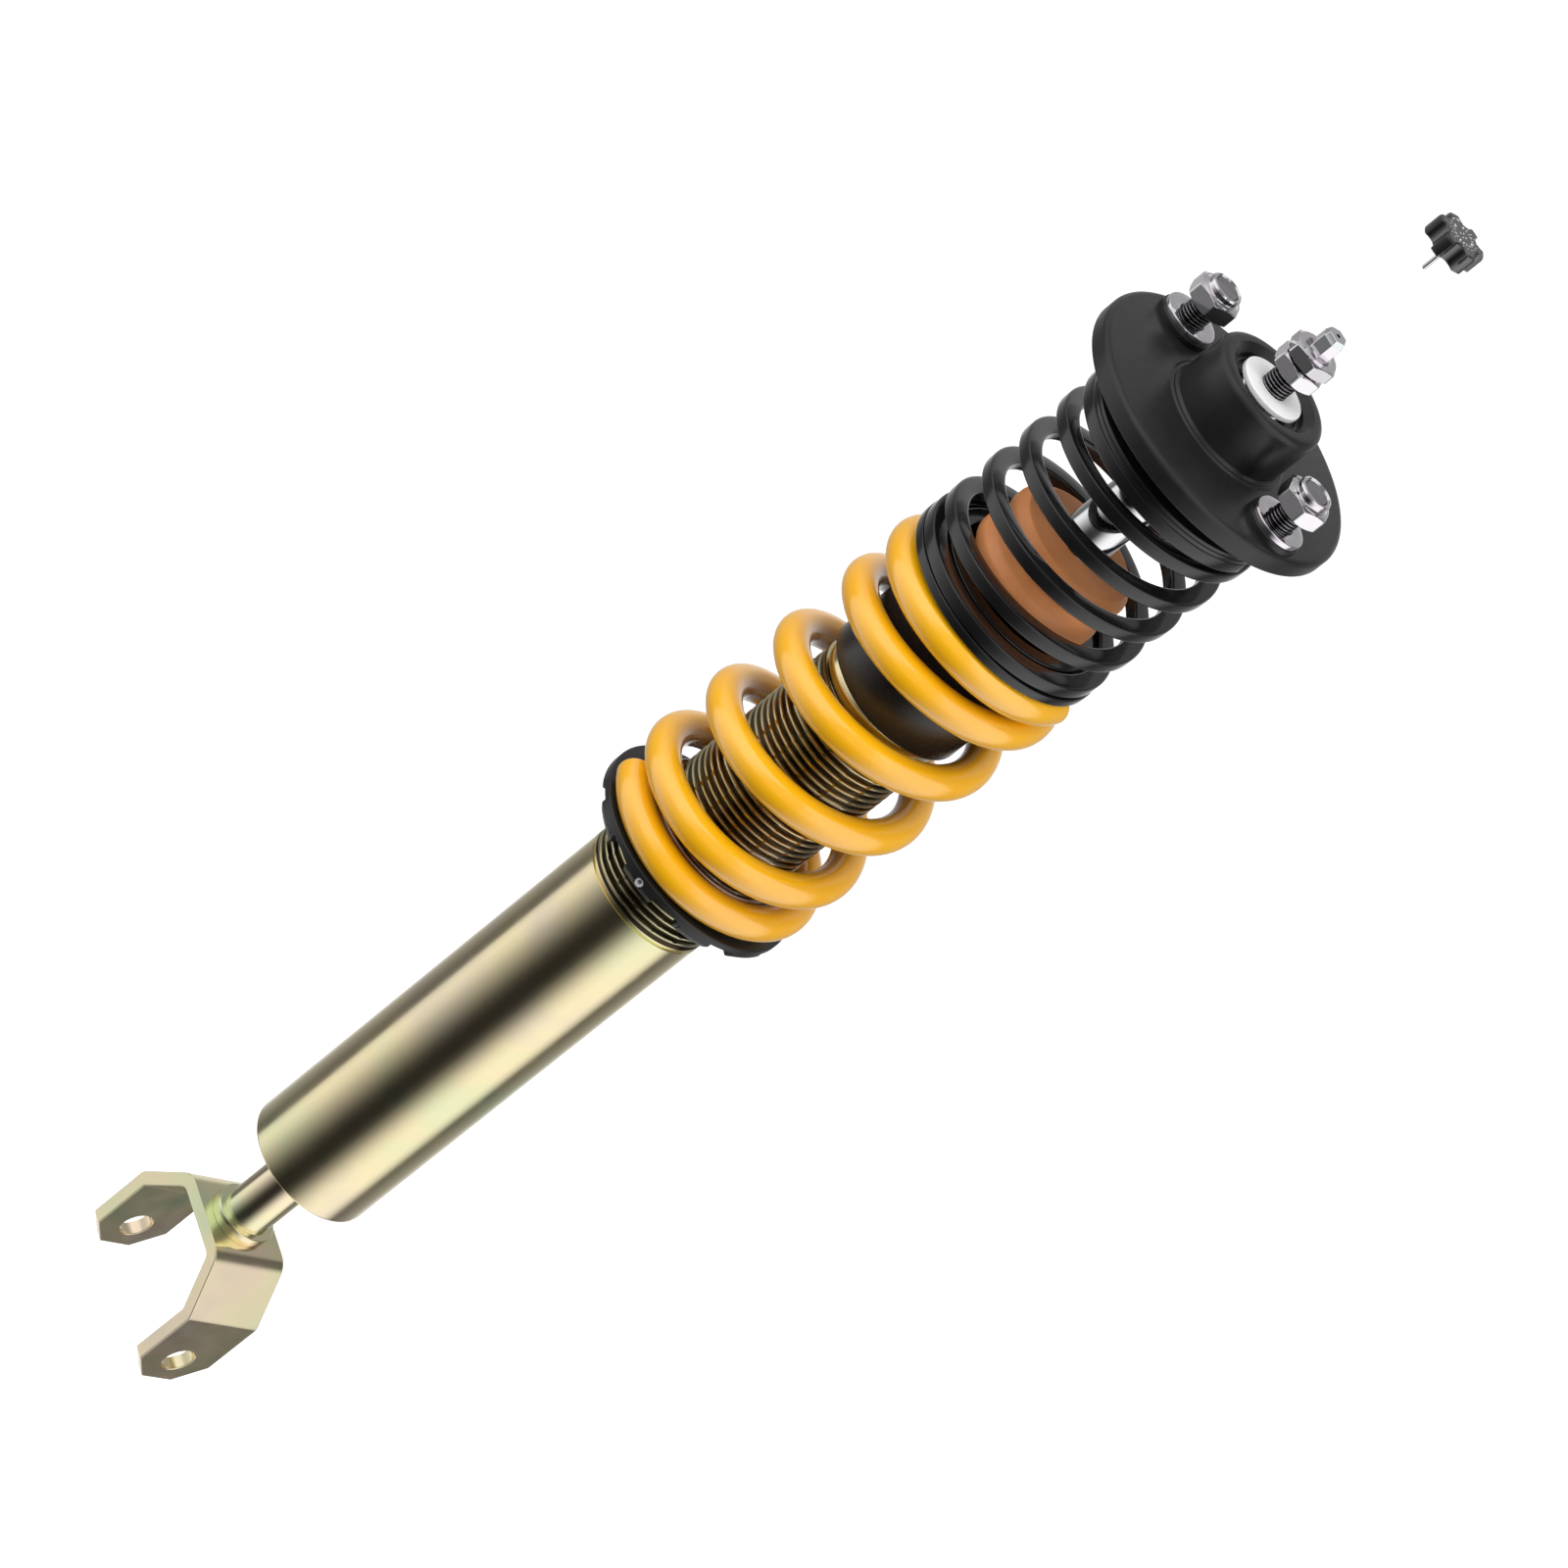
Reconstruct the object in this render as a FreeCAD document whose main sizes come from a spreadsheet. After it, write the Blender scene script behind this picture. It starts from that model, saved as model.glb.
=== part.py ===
import FreeCAD, Part
import math
import os
import re
import Sketcher

# Coilover: damper in a threaded 50 mm tube, fork for a cross bolt below, round top mount above.
# Origin at the centre of the fork's cross-bolt hole, Z up the damper, X along the cross bolt.
# All sizes are millimetres. A height named *_seat is measured from the origin, every other
# height from the seat of its own piece.

doc = FreeCAD.newDocument("coilover")
sheet = doc.addObject("Spreadsheet::Sheet", "Dims")

SIZES = (
    ("bolt_hole", 6.0, "radius of the cross-bolt hole, M12 bolt"),
    ("hole_break", 0.6, "chamfer on both mouths of the cross-bolt hole"),
    ("strip", 5.0, "thickness of the bent fork strip"),
    ("strip_half", 16.2, "half width of the strip"),
    ("ear_outer", 30.0, "outer face of an ear from the axis"),
    ("ear_bend", 24.4, "height of the lower bend, outside"),
    ("ear_bend_inside", 22.9, "height of the lower bend, inside"),
    ("web_corner", 16.5, "upper bend from the axis, outside"),
    ("web_corner_inside", 13.8, "upper bend from the axis, inside"),
    ("web_top", 45.6, "top face of the fork's web"),
    ("web_round", 8.0, "outer radius of the bends beside the web"),
    ("web_round_inside", 3.0, "inner radius of the bends beside the web"),
    ("ear_round", 3.0, "outer radius of the bends above the ears"),
    ("ear_round_inside", 1.0, "inner radius of the bends above the ears"),
    ("ear_shoulder", 2.0, "depth below the bolt centre where the ear starts to taper"),
    ("ear_tip", 12.2, "depth of the ear's flat tip below the bolt centre"),
    ("ear_tip_half", 6.8, "half width of the flat tip"),
    ("edge_break", 0.5, "small chamfer or rounding on turned and cut edges"),
    ("stem_radius", 9.05, "stem between fork and tube"),
    ("stem_length", 38.8, "stem from the web to the tube"),
    ("stem_spigot", 7.0, "stem spigot through the web and into the base cap"),
    ("stem_head", 8.6, "peened head below the web"),
    ("stem_head_height", 1.6, "height of the peened head"),
    ("stem_plug", 8.0, "length of the spigot inside the base cap"),
    ("stem_collar", 12.0, "collar of the stem, standing on the web"),
    ("stem_collar_height", 4.4, "height of the stem's collar"),
    ("tube_seat", 84.4, "lower edge of the outer tube"),
    ("tube_radius", 25.0, "outer tube and crest of its thread"),
    ("tube_bore", 22.0, "bore of the outer tube"),
    ("tube_round", 1.1, "rounding of the tube's lower edge"),
    ("thread_start", 174.0, "first thread groove"),
    ("thread_end", 285.0, "last thread groove"),
    ("relief", 1.5, "width of the relief groove below the thread"),
    ("relief_radius", 24.2, "relief groove and smooth neck above the thread"),
    ("thread_pitch", 3.0, "pitch of the perch thread"),
    ("thread_depth", 1.5, "depth of the perch thread"),
    ("thread_mouth", 1.1, "half width of a thread groove at the crest"),
    ("tube_length", 290.0, "length of the outer tube"),
    ("cap_height", 10.0, "base cap inside the tube's lower end"),
    ("inner_seat", 94.4, "lower edge of the inner tube"),
    ("inner_radius", 17.5, "inner tube outside"),
    ("inner_bore", 16.0, "inner tube inside"),
    ("inner_length", 258.0, "length of the inner tube"),
    ("valve_height", 8.0, "foot valve"),
    ("valve_hub", 4.0, "foot valve's centre bolt"),
    ("port_radius", 1.6, "oil port in the foot valve and piston"),
    ("port_circle", 10.5, "circle of the oil ports"),
    ("port_count", 6, "number of oil ports"),
    ("guide_seat", 352.4, "shoulder of the rod guide on the inner tube"),
    ("guide_height", 10.0, "rod guide above its shoulder"),
    ("guide_plug", 6.0, "rod guide inside the inner tube"),
    ("guide_bore", 9.05, "rod guide bore, running fit on the rod"),
    ("seal_height", 4.0, "rod seal"),
    ("seal_bore", 9.08, "rod seal bore"),
    ("gland_height", 5.0, "gland nut"),
    ("gland_bore", 9.6, "gland nut bore"),
    ("spanner_hole", 1.8, "spanner hole in the gland nut"),
    ("spanner_circle", 15.5, "circle of the spanner holes"),
    ("collar_seat", 276.2, "lower edge of the perch collar"),
    ("collar_radius", 40.5, "perch collar outside"),
    ("collar_foot", 38.6, "lower edge of the collar's bevel"),
    ("collar_bevel", 2.5, "height of the collar's bevel"),
    ("collar_bore", 25.35, "perch collar bore over the thread crest"),
    ("collar_height", 6.4, "perch collar, tabs included"),
    ("collar_ledge", 4.0, "height of the locator's ledge and of the slots"),
    ("slot_inner", 33.0, "inner radius of the spanner slots"),
    ("slot_half", 5.35, "half width of a spanner slot"),
    ("slot_count", 10, "number of spanner slots"),
    ("collar_turn", -62.0, "direction of the tab with the set screw"),
    ("mark_length", 3.2, "index line engraved beside a slot"),
    ("mark_half", 0.18, "half width of an index line"),
    ("mark_floor", 38.1, "floor of an index line from the axis"),
    ("screw_radius", 2.0, "collar set screw"),
    ("screw_height", 2.8, "axis of the set screw"),
    ("screw_point", 0.75, "dog point of the set screw"),
    ("screw_inner", 25.5, "inner end of the dog point"),
    ("screw_step", 29.2, "shoulder of the set screw"),
    ("screw_outer", 39.5, "outer end of the set screw"),
    ("socket_corner", 1.15, "corner radius of the screw's hex socket"),
    ("socket_depth", 2.5, "depth of the screw's hex socket"),
    ("locator_seat", 280.2, "lower edge of the spring locator"),
    ("locator_bore", 25.4, "spring locator bore"),
    ("locator_radius", 28.5, "spring locator outside"),
    ("collar_recess", 28.56, "recess in the collar for the locator"),
    ("locator_height", 12.7, "spring locator"),
    ("spring_seat_height", 282.6, "seat of the main spring"),
    ("spring_top_height", 425.7, "top of the main spring"),
    ("spring_wire", 6.1, "radius of the main spring's wire"),
    ("spring_mean", 35.3, "mean radius of the main spring"),
    ("spring_close_pitch", 17.5, "rise per turn of the main spring's first and last coil"),
    ("spring_pitch", 32.03, "rise per turn of the main spring's open coils"),
    ("spring_first_turn", -125.0, "direction of the main spring's lower end"),
    ("spring_sweep", 1950.0, "degrees wound from end to end"),
    ("sleeve_seat", 375.8, "lower edge of the guide sleeve"),
    ("sleeve_bore", 25.9, "bore of the guide sleeve and coupler"),
    ("sleeve_radius", 27.25, "guide sleeve outside"),
    ("sleeve_length", 49.9, "guide sleeve"),
    ("sleeve_neck", 44.0, "height of the sleeve's spring locating band"),
    ("sleeve_band", 28.9, "spring locating band of the sleeve"),
    ("coupler_seat", 425.7, "lower face of the coupler flange"),
    ("coupler_radius", 39.3, "coupler flange"),
    ("coupler_flange", 3.2, "thickness of the coupler flange"),
    ("coupler_spigot", 31.5, "coupler spigot inside the helper spring"),
    ("coupler_height", 8.7, "coupler with spigot"),
    ("helper_seat_height", 428.95, "lower end of the helper spring"),
    ("helper_top_height", 505.65, "upper end of the helper spring"),
    ("helper_outer", 39.1, "helper spring outside"),
    ("helper_width", 6.5, "radial width of the helper spring's wire"),
    ("helper_thick", 5.0, "axial thickness of the helper spring's wire"),
    ("helper_pitch", 16.7, "rise per turn of the helper spring's open coils"),
    ("helper_first_turn", 157.0, "direction of the helper spring's lower end"),
    ("helper_sweep", 2023.0, "degrees wound from end to end"),
    ("rod_seat", 286.0, "lower end of the piston rod"),
    ("rod_radius", 9.0, "piston rod"),
    ("rod_stub", 5.0, "rod below the piston shoulder and above the seat shoulder"),
    ("rod_shoulder", 26.0, "height of the piston shoulder"),
    ("rod_step", 217.0, "height of the shoulder below the upper spring seat"),
    ("rod_thread_end", 278.7, "end of the top thread"),
    ("rod_hex_end", 285.4, "top of the rod end's hex"),
    ("rod_length", 287.3, "whole rod"),
    ("rod_hex_corner", 4.4, "corner radius of the rod end's hex"),
    ("rod_bore", 1.95, "bore for the damping needle"),
    ("rod_bore_end", 276.0, "top of the needle bore"),
    ("rod_key", 0.82, "key hole in the rod end"),
    ("piston_seat", 296.0, "lower face of the piston"),
    ("piston_height", 16.0, "piston"),
    ("piston_radius", 15.4, "piston body"),
    ("band_radius", 15.92, "piston band outside"),
    ("band_inner", 14.9, "floor of the band groove"),
    ("band_low", 4.0, "lower edge of the band groove"),
    ("band_high", 12.0, "upper edge of the band groove"),
    ("shim_height", 2.0, "stack of valve shims"),
    ("shim_radius", 9.0, "largest valve shim"),
    ("piston_nut_flats", 15.0, "across flats of the piston nut"),
    ("piston_nut_height", 6.0, "piston nut"),
    ("topout_radius", 12.5, "top-out ring"),
    ("topout_height", 6.0, "top-out ring"),
    ("bump_seat", 431.4, "lower end of the bump stop"),
    ("bump_foot", 17.5, "radius of the bump stop's lower end"),
    ("bump_lobe", 25.2, "lower lobe"),
    ("bump_lobe_height", 9.6, "height of the lower lobe"),
    ("bump_waist", 23.0, "waist"),
    ("bump_waist_height", 18.6, "height of the waist"),
    ("bump_crown", 24.7, "upper lobe"),
    ("bump_crown_height", 24.2, "height of the upper lobe"),
    ("bump_top", 21.5, "top face radius"),
    ("bump_height", 28.5, "whole bump stop"),
    ("seat_seat", 505.7, "lower face of the upper spring seat"),
    ("seat_plate", 3.2, "plate of the upper spring seat"),
    ("seat_spigot", 32.1, "spigot of the upper seat inside the helper spring"),
    ("seat_spigot_bore", 29.0, "bore of that spigot"),
    ("seat_spigot_depth", 6.0, "depth of that spigot"),
    ("seat_hub", 14.0, "hub of the upper seat on the rod shoulder"),
    ("seat_hub_depth", 2.7, "depth of that hub"),
    ("spacer_seat", 508.9, "lower face of the lower spacer"),
    ("spacer_radius", 11.0, "lower spacer"),
    ("spacer_height", 18.6, "lower spacer"),
    ("bearing_seat", 535.0, "centre of the spherical bearing"),
    ("ball_radius", 12.0, "sphere of the bearing ball"),
    ("ball_half", 7.5, "half width of the ball"),
    ("ball_face", "=sqrt(ball_radius^2 - ball_half^2)", "radius of the ball's flat faces"),
    ("race_sphere", 12.1, "spherical bore of the bearing race"),
    ("race_half", 6.0, "half width of the race"),
    ("race_mouth", "=sqrt(race_sphere^2 - race_half^2)", "mouth of the race's spherical bore"),
    ("hub_bore", 14.8, "bore of the mount hub and outside of the race"),
    ("circlip_low", 6.0, "lower face of the circlip"),
    ("circlip_high", 7.2, "upper face of the circlip"),
    ("circlip_inner", 13.4, "circlip inside"),
    ("circlip_groove", 15.8, "floor of the circlip groove"),
    ("disc_seat", 542.5, "lower face of the top spacer disc"),
    ("disc_foot", 9.2, "foot of the disc on the ball"),
    ("disc_foot_height", 1.1, "height of that foot"),
    ("disc_rim", 12.4, "rim of the disc"),
    ("disc_rim_height", 2.7, "height where the rim starts to taper"),
    ("disc_top", 12.1, "top face of the disc"),
    ("disc_height", 3.0, "whole disc"),
    ("flange_seat", 517.7, "lower face of the mount flange"),
    ("flange_radius", 52.3, "mount flange"),
    ("flange_thick", 7.2, "mount flange"),
    ("flange_round", 2.0, "rounding of the flange's upper edge"),
    ("flange_round_low", 1.0, "rounding of the flange's lower edge"),
    ("flange_mouth", 15.5, "lower mouth of the mount"),
    ("flange_ledge", 12.9, "ledge under the race"),
    ("ledge_height", 11.3, "height of that ledge"),
    ("hub_foot", 24.0, "foot of the hub on the flange"),
    ("hub_radius", 22.3, "hub wall"),
    ("hub_foot_height", 1.5, "height of the hub's foot"),
    ("hub_height", 28.2, "top of the hub"),
    ("hub_round", 2.6, "rounding of the hub's upper edge"),
    ("hub_lip", 17.6, "outer radius of the bore's lip"),
    ("hub_lip_depth", 2.0, "depth of the bore's lip"),
    ("stud_offset", 40.0, "stud from the axis"),
    ("stud_radius", 4.9, "stud, M10"),
    ("stud_head", 7.0, "stud's pressed head"),
    ("stud_head_height", 2.0, "height of that head"),
    ("stud_length", 26.9, "stud above the flange's lower face"),
    ("pad_radius", 10.5, "pad round each stud"),
    ("pad_height", 2.2, "height of that pad"),
    ("washer_seat", 527.1, "lower face of the stud washers"),
    ("washer_radius", 10.0, "stud washer"),
    ("washer_height", 2.0, "stud washer"),
    ("lock_nut_seat", 535.6, "lower face of the lock nuts"),
    ("lock_nut_flats", 16.0, "across flats of the lock nuts"),
    ("lock_nut_height", 6.4, "hex of a lock nut"),
    ("lock_collar", 6.3, "collar of a lock nut"),
    ("lock_collar_height", 9.5, "whole lock nut"),
    ("lock_collar_bore", 5.2, "mouth of a lock nut's collar"),
    ("lock_nut_turn", -42.0, "direction of a lock nut's corner"),
    ("rod_nut_flats", 16.0, "across flats of the rod nuts"),
    ("rod_nut_low_seat", 553.5, "lower face of the lower rod nut"),
    ("rod_nut_low_height", 5.5, "lower rod nut"),
    ("rod_nut_low_turn", -42.0, "direction of a corner"),
    ("rod_nut_high_seat", 559.7, "lower face of the upper rod nut"),
    ("rod_nut_high_height", 5.0, "upper rod nut"),
    ("rod_nut_high_turn", -37.0, "direction of a corner"),
    ("needle_seat", 300.0, "lower end of the damping needle"),
    ("needle_radius", 1.5, "damping needle"),
    ("needle_length", 258.0, "damping needle"),
    ("needle_point", 6.0, "length of the needle's cone"),
    ("knob_seat", 618.6, "lower face of the knob, held above the rod end"),
    ("knob_radius", 9.6, "knob lobes"),
    ("knob_height", 7.5, "knob"),
    ("knob_scallop_centre", 10.68, "centre of a scallop from the axis"),
    ("knob_scallop", 3.68, "radius of a scallop"),
    ("knob_lobes", 6, "number of lobes"),
    ("knob_bevel", 0.9, "bevel round the knob's upper face"),
    ("knob_turn", -37.0, "direction of a scallop"),
    ("pin_radius", 0.75, "knob pin"),
    ("pin_reach", 9.4, "pin below the knob"),
    ("pin_plug", 4.0, "pin inside the knob"),
)

for row, (alias, size, meaning) in enumerate(SIZES, start=1):
    sheet.set("A%d" % row, meaning)
    sheet.set("B%d" % row, str(size))
    sheet.setAlias("B%d" % row, alias)
doc.recompute()


def number(text):
    """Value of a sum such as 'tube_radius - 0.5'; a term may be a product such as strip_half*1.2."""
    total = 0.0
    sign = 1.0
    for word in text.split():
        if word in ("+", "-"):
            sign = 1.0 if word == "+" else -1.0
            continue
        product = 1.0
        for factor in word.split("*"):
            product *= float(factor) if factor[0].isdigit() else float(sheet.get(factor))
        total += sign * product
    return total


def formula(text):
    """The same sum as an expression on the sheet."""
    return re.sub(r"([a-z]\w*)", r"Dims.\1", text)


def bind(item, prop, text):
    item.setExpression(prop, formula(text))


def new_body(label, seat=None, turn=None, offset=None):
    """Body whose Placement is bound to its seat height, its turn about Z and its offset along X."""
    body = doc.addObject("PartDesign::Body", label)
    body.Label = label
    if seat:
        bind(body, "Placement.Base.z", seat)
    if offset:
        bind(body, "Placement.Base.x", offset)
    if turn:
        body.Placement.Rotation = FreeCAD.Rotation(FreeCAD.Vector(0, 0, 1), 1)
        bind(body, "Placement.Rotation.Angle", turn)
    return body


def new_sketch(body, name, role, height=None):
    """Empty sketch on one of the body's origin planes, moved along its normal to a height."""
    sketch = body.newObject("Sketcher::SketchObject", name)
    plane = [item for item in body.Origin.OriginFeatures if item.Role == role][0]
    sketch.AttachmentSupport = [(plane, "")]
    sketch.MapMode = "FlatFace"
    if height:
        bind(sketch, "AttachmentOffset.Base.z", height)
    return sketch


def pin_point(sketch, geometry, end, across, up):
    """Hold a sketch point at two sums of sheet sizes."""
    for kind, text in (("DistanceX", across), ("DistanceY", up)):
        place = sketch.addConstraint(Sketcher.Constraint(kind, -1, 1, geometry, end, number(text)))
        if re.search("[a-z]", text):
            bind(sketch, "Constraints[%d]" % place, text)


def draw_outline(sketch, outline):
    """Closed outline of lines; an entry (across, up, 'arc') is the middle of an arc between its neighbours."""
    corners = [entry for entry in outline if len(entry) == 2]
    flat = {entry: FreeCAD.Vector(number(entry[0]), number(entry[1]), 0) for entry in outline}
    edges = []
    for index, entry in enumerate(outline):
        if len(entry) == 3:
            continue
        following = outline[(index + 1) % len(outline)]
        if len(following) == 2:
            edges.append(sketch.addGeometry(Part.LineSegment(flat[entry], flat[following]), False))
            continue
        after = outline[(index + 2) % len(outline)]
        arc = Part.Arc(flat[entry], flat[following], flat[after])
        edges.append(sketch.addGeometry(arc, False))
        middle = sketch.addGeometry(Part.Point(flat[following]), True)
        pin_point(sketch, middle, 1, following[0], following[1])
        sketch.addConstraint(Sketcher.Constraint("PointOnObject", middle, 1, edges[-1]))
    starts = {}
    for position, edge in enumerate(edges):
        start = sketch.getPoint(edge, 1)
        near = (start - flat[corners[position]]).Length < 1e-6
        starts[edge] = (1, 2) if near else (2, 1)
    for position, edge in enumerate(edges):
        follower = edges[(position + 1) % len(edges)]
        sketch.addConstraint(
            Sketcher.Constraint("Coincident", edge, starts[edge][1], follower, starts[follower][0])
        )
        pin_point(sketch, edge, starts[edge][0], corners[position][0], corners[position][1])


def draw_circle(sketch, radius, across="0", up="0"):
    centre = FreeCAD.Vector(number(across), number(up), 0)
    circle = sketch.addGeometry(Part.Circle(centre, FreeCAD.Vector(0, 0, 1), number(radius)), False)
    place = sketch.addConstraint(Sketcher.Constraint("Radius", circle, number(radius)))
    bind(sketch, "Constraints[%d]" % place, radius)
    pin_point(sketch, circle, 3, across, up)


def polygon(corner, sides, turn=0.0):
    """Outline of a regular polygon with one corner in the direction turn, in degrees."""
    outline = []
    for index in range(sides):
        angle = math.radians(turn + 360.0 * index / sides)
        across, up = math.cos(angle), math.sin(angle)
        outline.append(
            (
                "%s %s*%.6f" % ("-" if across < 0 else "+", corner, abs(across)),
                "%s %s*%.6f" % ("-" if up < 0 else "+", corner, abs(up)),
            )
        )
    return outline


def revolve(body, name, outline, cut=False):
    """Turn an outline of (radius, height) pairs about the body's Z axis."""
    sketch = new_sketch(body, name + "_outline", "XZ_Plane")
    draw_outline(sketch, outline)
    doc.recompute()
    before = body.Shape.Volume if cut else 0.0
    feature = body.newObject("PartDesign::Groove" if cut else "PartDesign::Revolution", name)
    feature.Profile = sketch
    feature.ReferenceAxis = (sketch, ["V_Axis"])
    feature.Angle = 360
    doc.recompute()
    if cut and not body.Shape.Volume < before - 1e-3:
        raise RuntimeError("groove %s cuts nothing" % name)
    return feature


def pad(body, name, sketch, length, both_sides=False):
    feature = body.newObject("PartDesign::Pad", name)
    feature.Profile = sketch
    if both_sides:
        feature.SideType = "Symmetric"
    bind(feature, "Length", length)
    doc.recompute()
    return feature


def pocket(body, name, sketch, depth=None, both_sides=False, upwards=False):
    """Cut a sketch to a depth, or right through when no depth is given."""
    doc.recompute()
    before = body.Shape.Volume
    feature = body.newObject("PartDesign::Pocket", name)
    feature.Profile = sketch
    if both_sides:
        feature.SideType = "Symmetric"
    if depth:
        bind(feature, "Length", depth)
    else:
        feature.Type = "ThroughAll"
    feature.Reversed = upwards
    doc.recompute()
    if not body.Shape.Volume < before - 1e-3:
        raise RuntimeError("pocket %s cuts nothing" % name)
    return feature


def polar(body, name, original, count):
    """Repeat a feature evenly round the body's Z axis."""
    feature = body.newObject("PartDesign::PolarPattern", name)
    feature.Originals = [original]
    axis = [item for item in body.Origin.OriginFeatures if item.Role == "Z_Axis"][0]
    feature.Axis = (axis, [""])
    feature.Angle = 360
    bind(feature, "Occurrences", count)
    body.Tip = feature
    doc.recompute()
    return feature


def circles_at(shape, radius, height):
    """Names of the circular edges of one radius at one height."""
    names = []
    for index, edge in enumerate(shape.Edges, start=1):
        curve = edge.Curve
        if not isinstance(curve, Part.Circle):
            continue
        if abs(curve.Radius - radius) < 0.01 and abs(curve.Center.z - height) < 0.01:
            names.append("Edge%d" % index)
    return names


def dress(body, name, kind, edges, size):
    """Fillet or chamfer on named edges of the body's last feature."""
    if not edges:
        raise RuntimeError("%s finds no edge" % name)
    base = body.Tip
    feature = body.newObject("PartDesign::" + kind, name)
    feature.Base = (base, edges)
    bind(feature, "Radius" if kind == "Fillet" else "Size", size)
    doc.recompute()
    return feature


def dress_circles(body, name, kind, places, size):
    edges = []
    for radius, height in places:
        edges += circles_at(body.Tip.Shape, number(radius), number(height))
    return dress(body, name, kind, edges, size)


def hex_corners(body, name, flats, height):
    """Turn the corners of a hex down to its flats at 30 degrees, as on a nut."""
    half = flats + "*0.5"
    tall = flats + "*0.0500"
    wide = flats + "*0.5866"
    past = flats + "*0.7"
    revolve(
        body,
        name + "_upper_chamfer",
        [(half, height), (wide, height + " - " + tall), (past, height + " - " + tall), (past, height)],
        cut=True,
    )
    revolve(
        body,
        name + "_lower_chamfer",
        [(half, "0"), (past, "0"), (past, tall), (wide, tall)],
        cut=True,
    )


def ring(label, seat, inner, outer, height):
    """Plain turned ring."""
    body = new_body(label, seat)
    revolve(body, label + "_ring", [(inner, "0"), (outer, "0"), (outer, height), (inner, height)])
    return body


# ---- fork -------------------------------------------------------------------------------------

fork = new_body("fork")
strip_outline = new_sketch(fork, "strip_outline", "XZ_Plane")
fork_strip = [
    ("ear_outer", "- ear_tip"),
    ("ear_outer", "ear_bend"),
    ("web_corner", "web_top"),
    ("- web_corner", "web_top"),
    ("- ear_outer", "ear_bend"),
    ("- ear_outer", "- ear_tip"),
    ("- ear_outer + strip", "- ear_tip"),
    ("- ear_outer + strip", "ear_bend_inside"),
    ("- web_corner_inside", "web_top - strip"),
    ("web_corner_inside", "web_top - strip"),
    ("ear_outer - strip", "ear_bend_inside"),
    ("ear_outer - strip", "- ear_tip"),
]
draw_outline(strip_outline, fork_strip)
pad(fork, "strip_pad", strip_outline, "strip_half*2", both_sides=True)


def bend_edges(shape, places):
    """Names of the edges along Y that stand at one of the (x, z) places, on either side."""
    names = []
    for index, edge in enumerate(shape.Edges, start=1):
        box = edge.BoundBox
        if box.YLength < 1.0 or box.XLength > 0.01 or box.ZLength > 0.01:
            continue
        for across, up in places:
            if abs(abs(box.XMin) - number(across)) < 0.01 and abs(box.ZMin - number(up)) < 0.01:
                names.append("Edge%d" % index)
    return names


BENDS = (
    ("web_bends", [("web_corner", "web_top")], "web_round"),
    ("web_bends_inside", [("web_corner_inside", "web_top - strip")], "web_round_inside"),
    ("ear_bends", [("ear_outer", "ear_bend")], "ear_round"),
    ("ear_bends_inside", [("ear_outer - strip", "ear_bend_inside")], "ear_round_inside"),
)
for bend, places, size in BENDS:
    dress(fork, bend, "Fillet", bend_edges(fork.Shape, places), size)

for side, sign in (("left", "-"), ("right", "+")):
    taper = new_sketch(fork, side + "_taper_outline", "YZ_Plane")
    draw_outline(
        taper,
        [
            (sign + " strip_half", "- ear_shoulder"),
            (sign + " ear_tip_half", "- ear_tip"),
            (sign + " ear_tip_half", "- ear_tip*2"),
            (sign + " strip_half*1.2", "- ear_tip*2"),
            (sign + " strip_half*1.2", "- ear_shoulder"),
        ],
    )
    pocket(fork, side + "_taper", taper, both_sides=True)

bolt_circle = new_sketch(fork, "bolt_circle", "YZ_Plane")
draw_circle(bolt_circle, "bolt_hole")
pocket(fork, "bolt_hole_cut", bolt_circle, both_sides=True)
hole_rims = [
    "Edge%d" % index
    for index, edge in enumerate(fork.Shape.Edges, start=1)
    if isinstance(edge.Curve, Part.Circle) and abs(edge.Curve.Radius - number("bolt_hole")) < 0.01
]
dress(fork, "bolt_hole_break", "Chamfer", hole_rims, "hole_break")
web_circle = new_sketch(fork, "web_circle", "XY_Plane")
draw_circle(web_circle, "stem_spigot")
pocket(fork, "web_hole", web_circle, upwards=True)

# ---- stem -------------------------------------------------------------------------------------

stem = new_body("stem", "web_top")
revolve(
    stem,
    "stem_shaft",
    [
        ("0", "- strip - stem_head_height"),
        ("stem_head - edge_break", "- strip - stem_head_height"),
        ("stem_head", "- strip - stem_head_height + edge_break"),
        ("stem_head", "- strip"),
        ("stem_spigot", "- strip"),
        ("stem_spigot", "0"),
        ("stem_collar", "0"),
        ("stem_collar", "stem_collar_height - edge_break"),
        ("stem_collar - edge_break", "stem_collar_height"),
        ("stem_radius", "stem_collar_height"),
        ("stem_radius", "stem_length"),
        ("stem_spigot", "stem_length"),
        ("stem_spigot", "stem_length + stem_plug"),
        ("0", "stem_length + stem_plug"),
    ],
)

# ---- damper body ------------------------------------------------------------------------------

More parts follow.
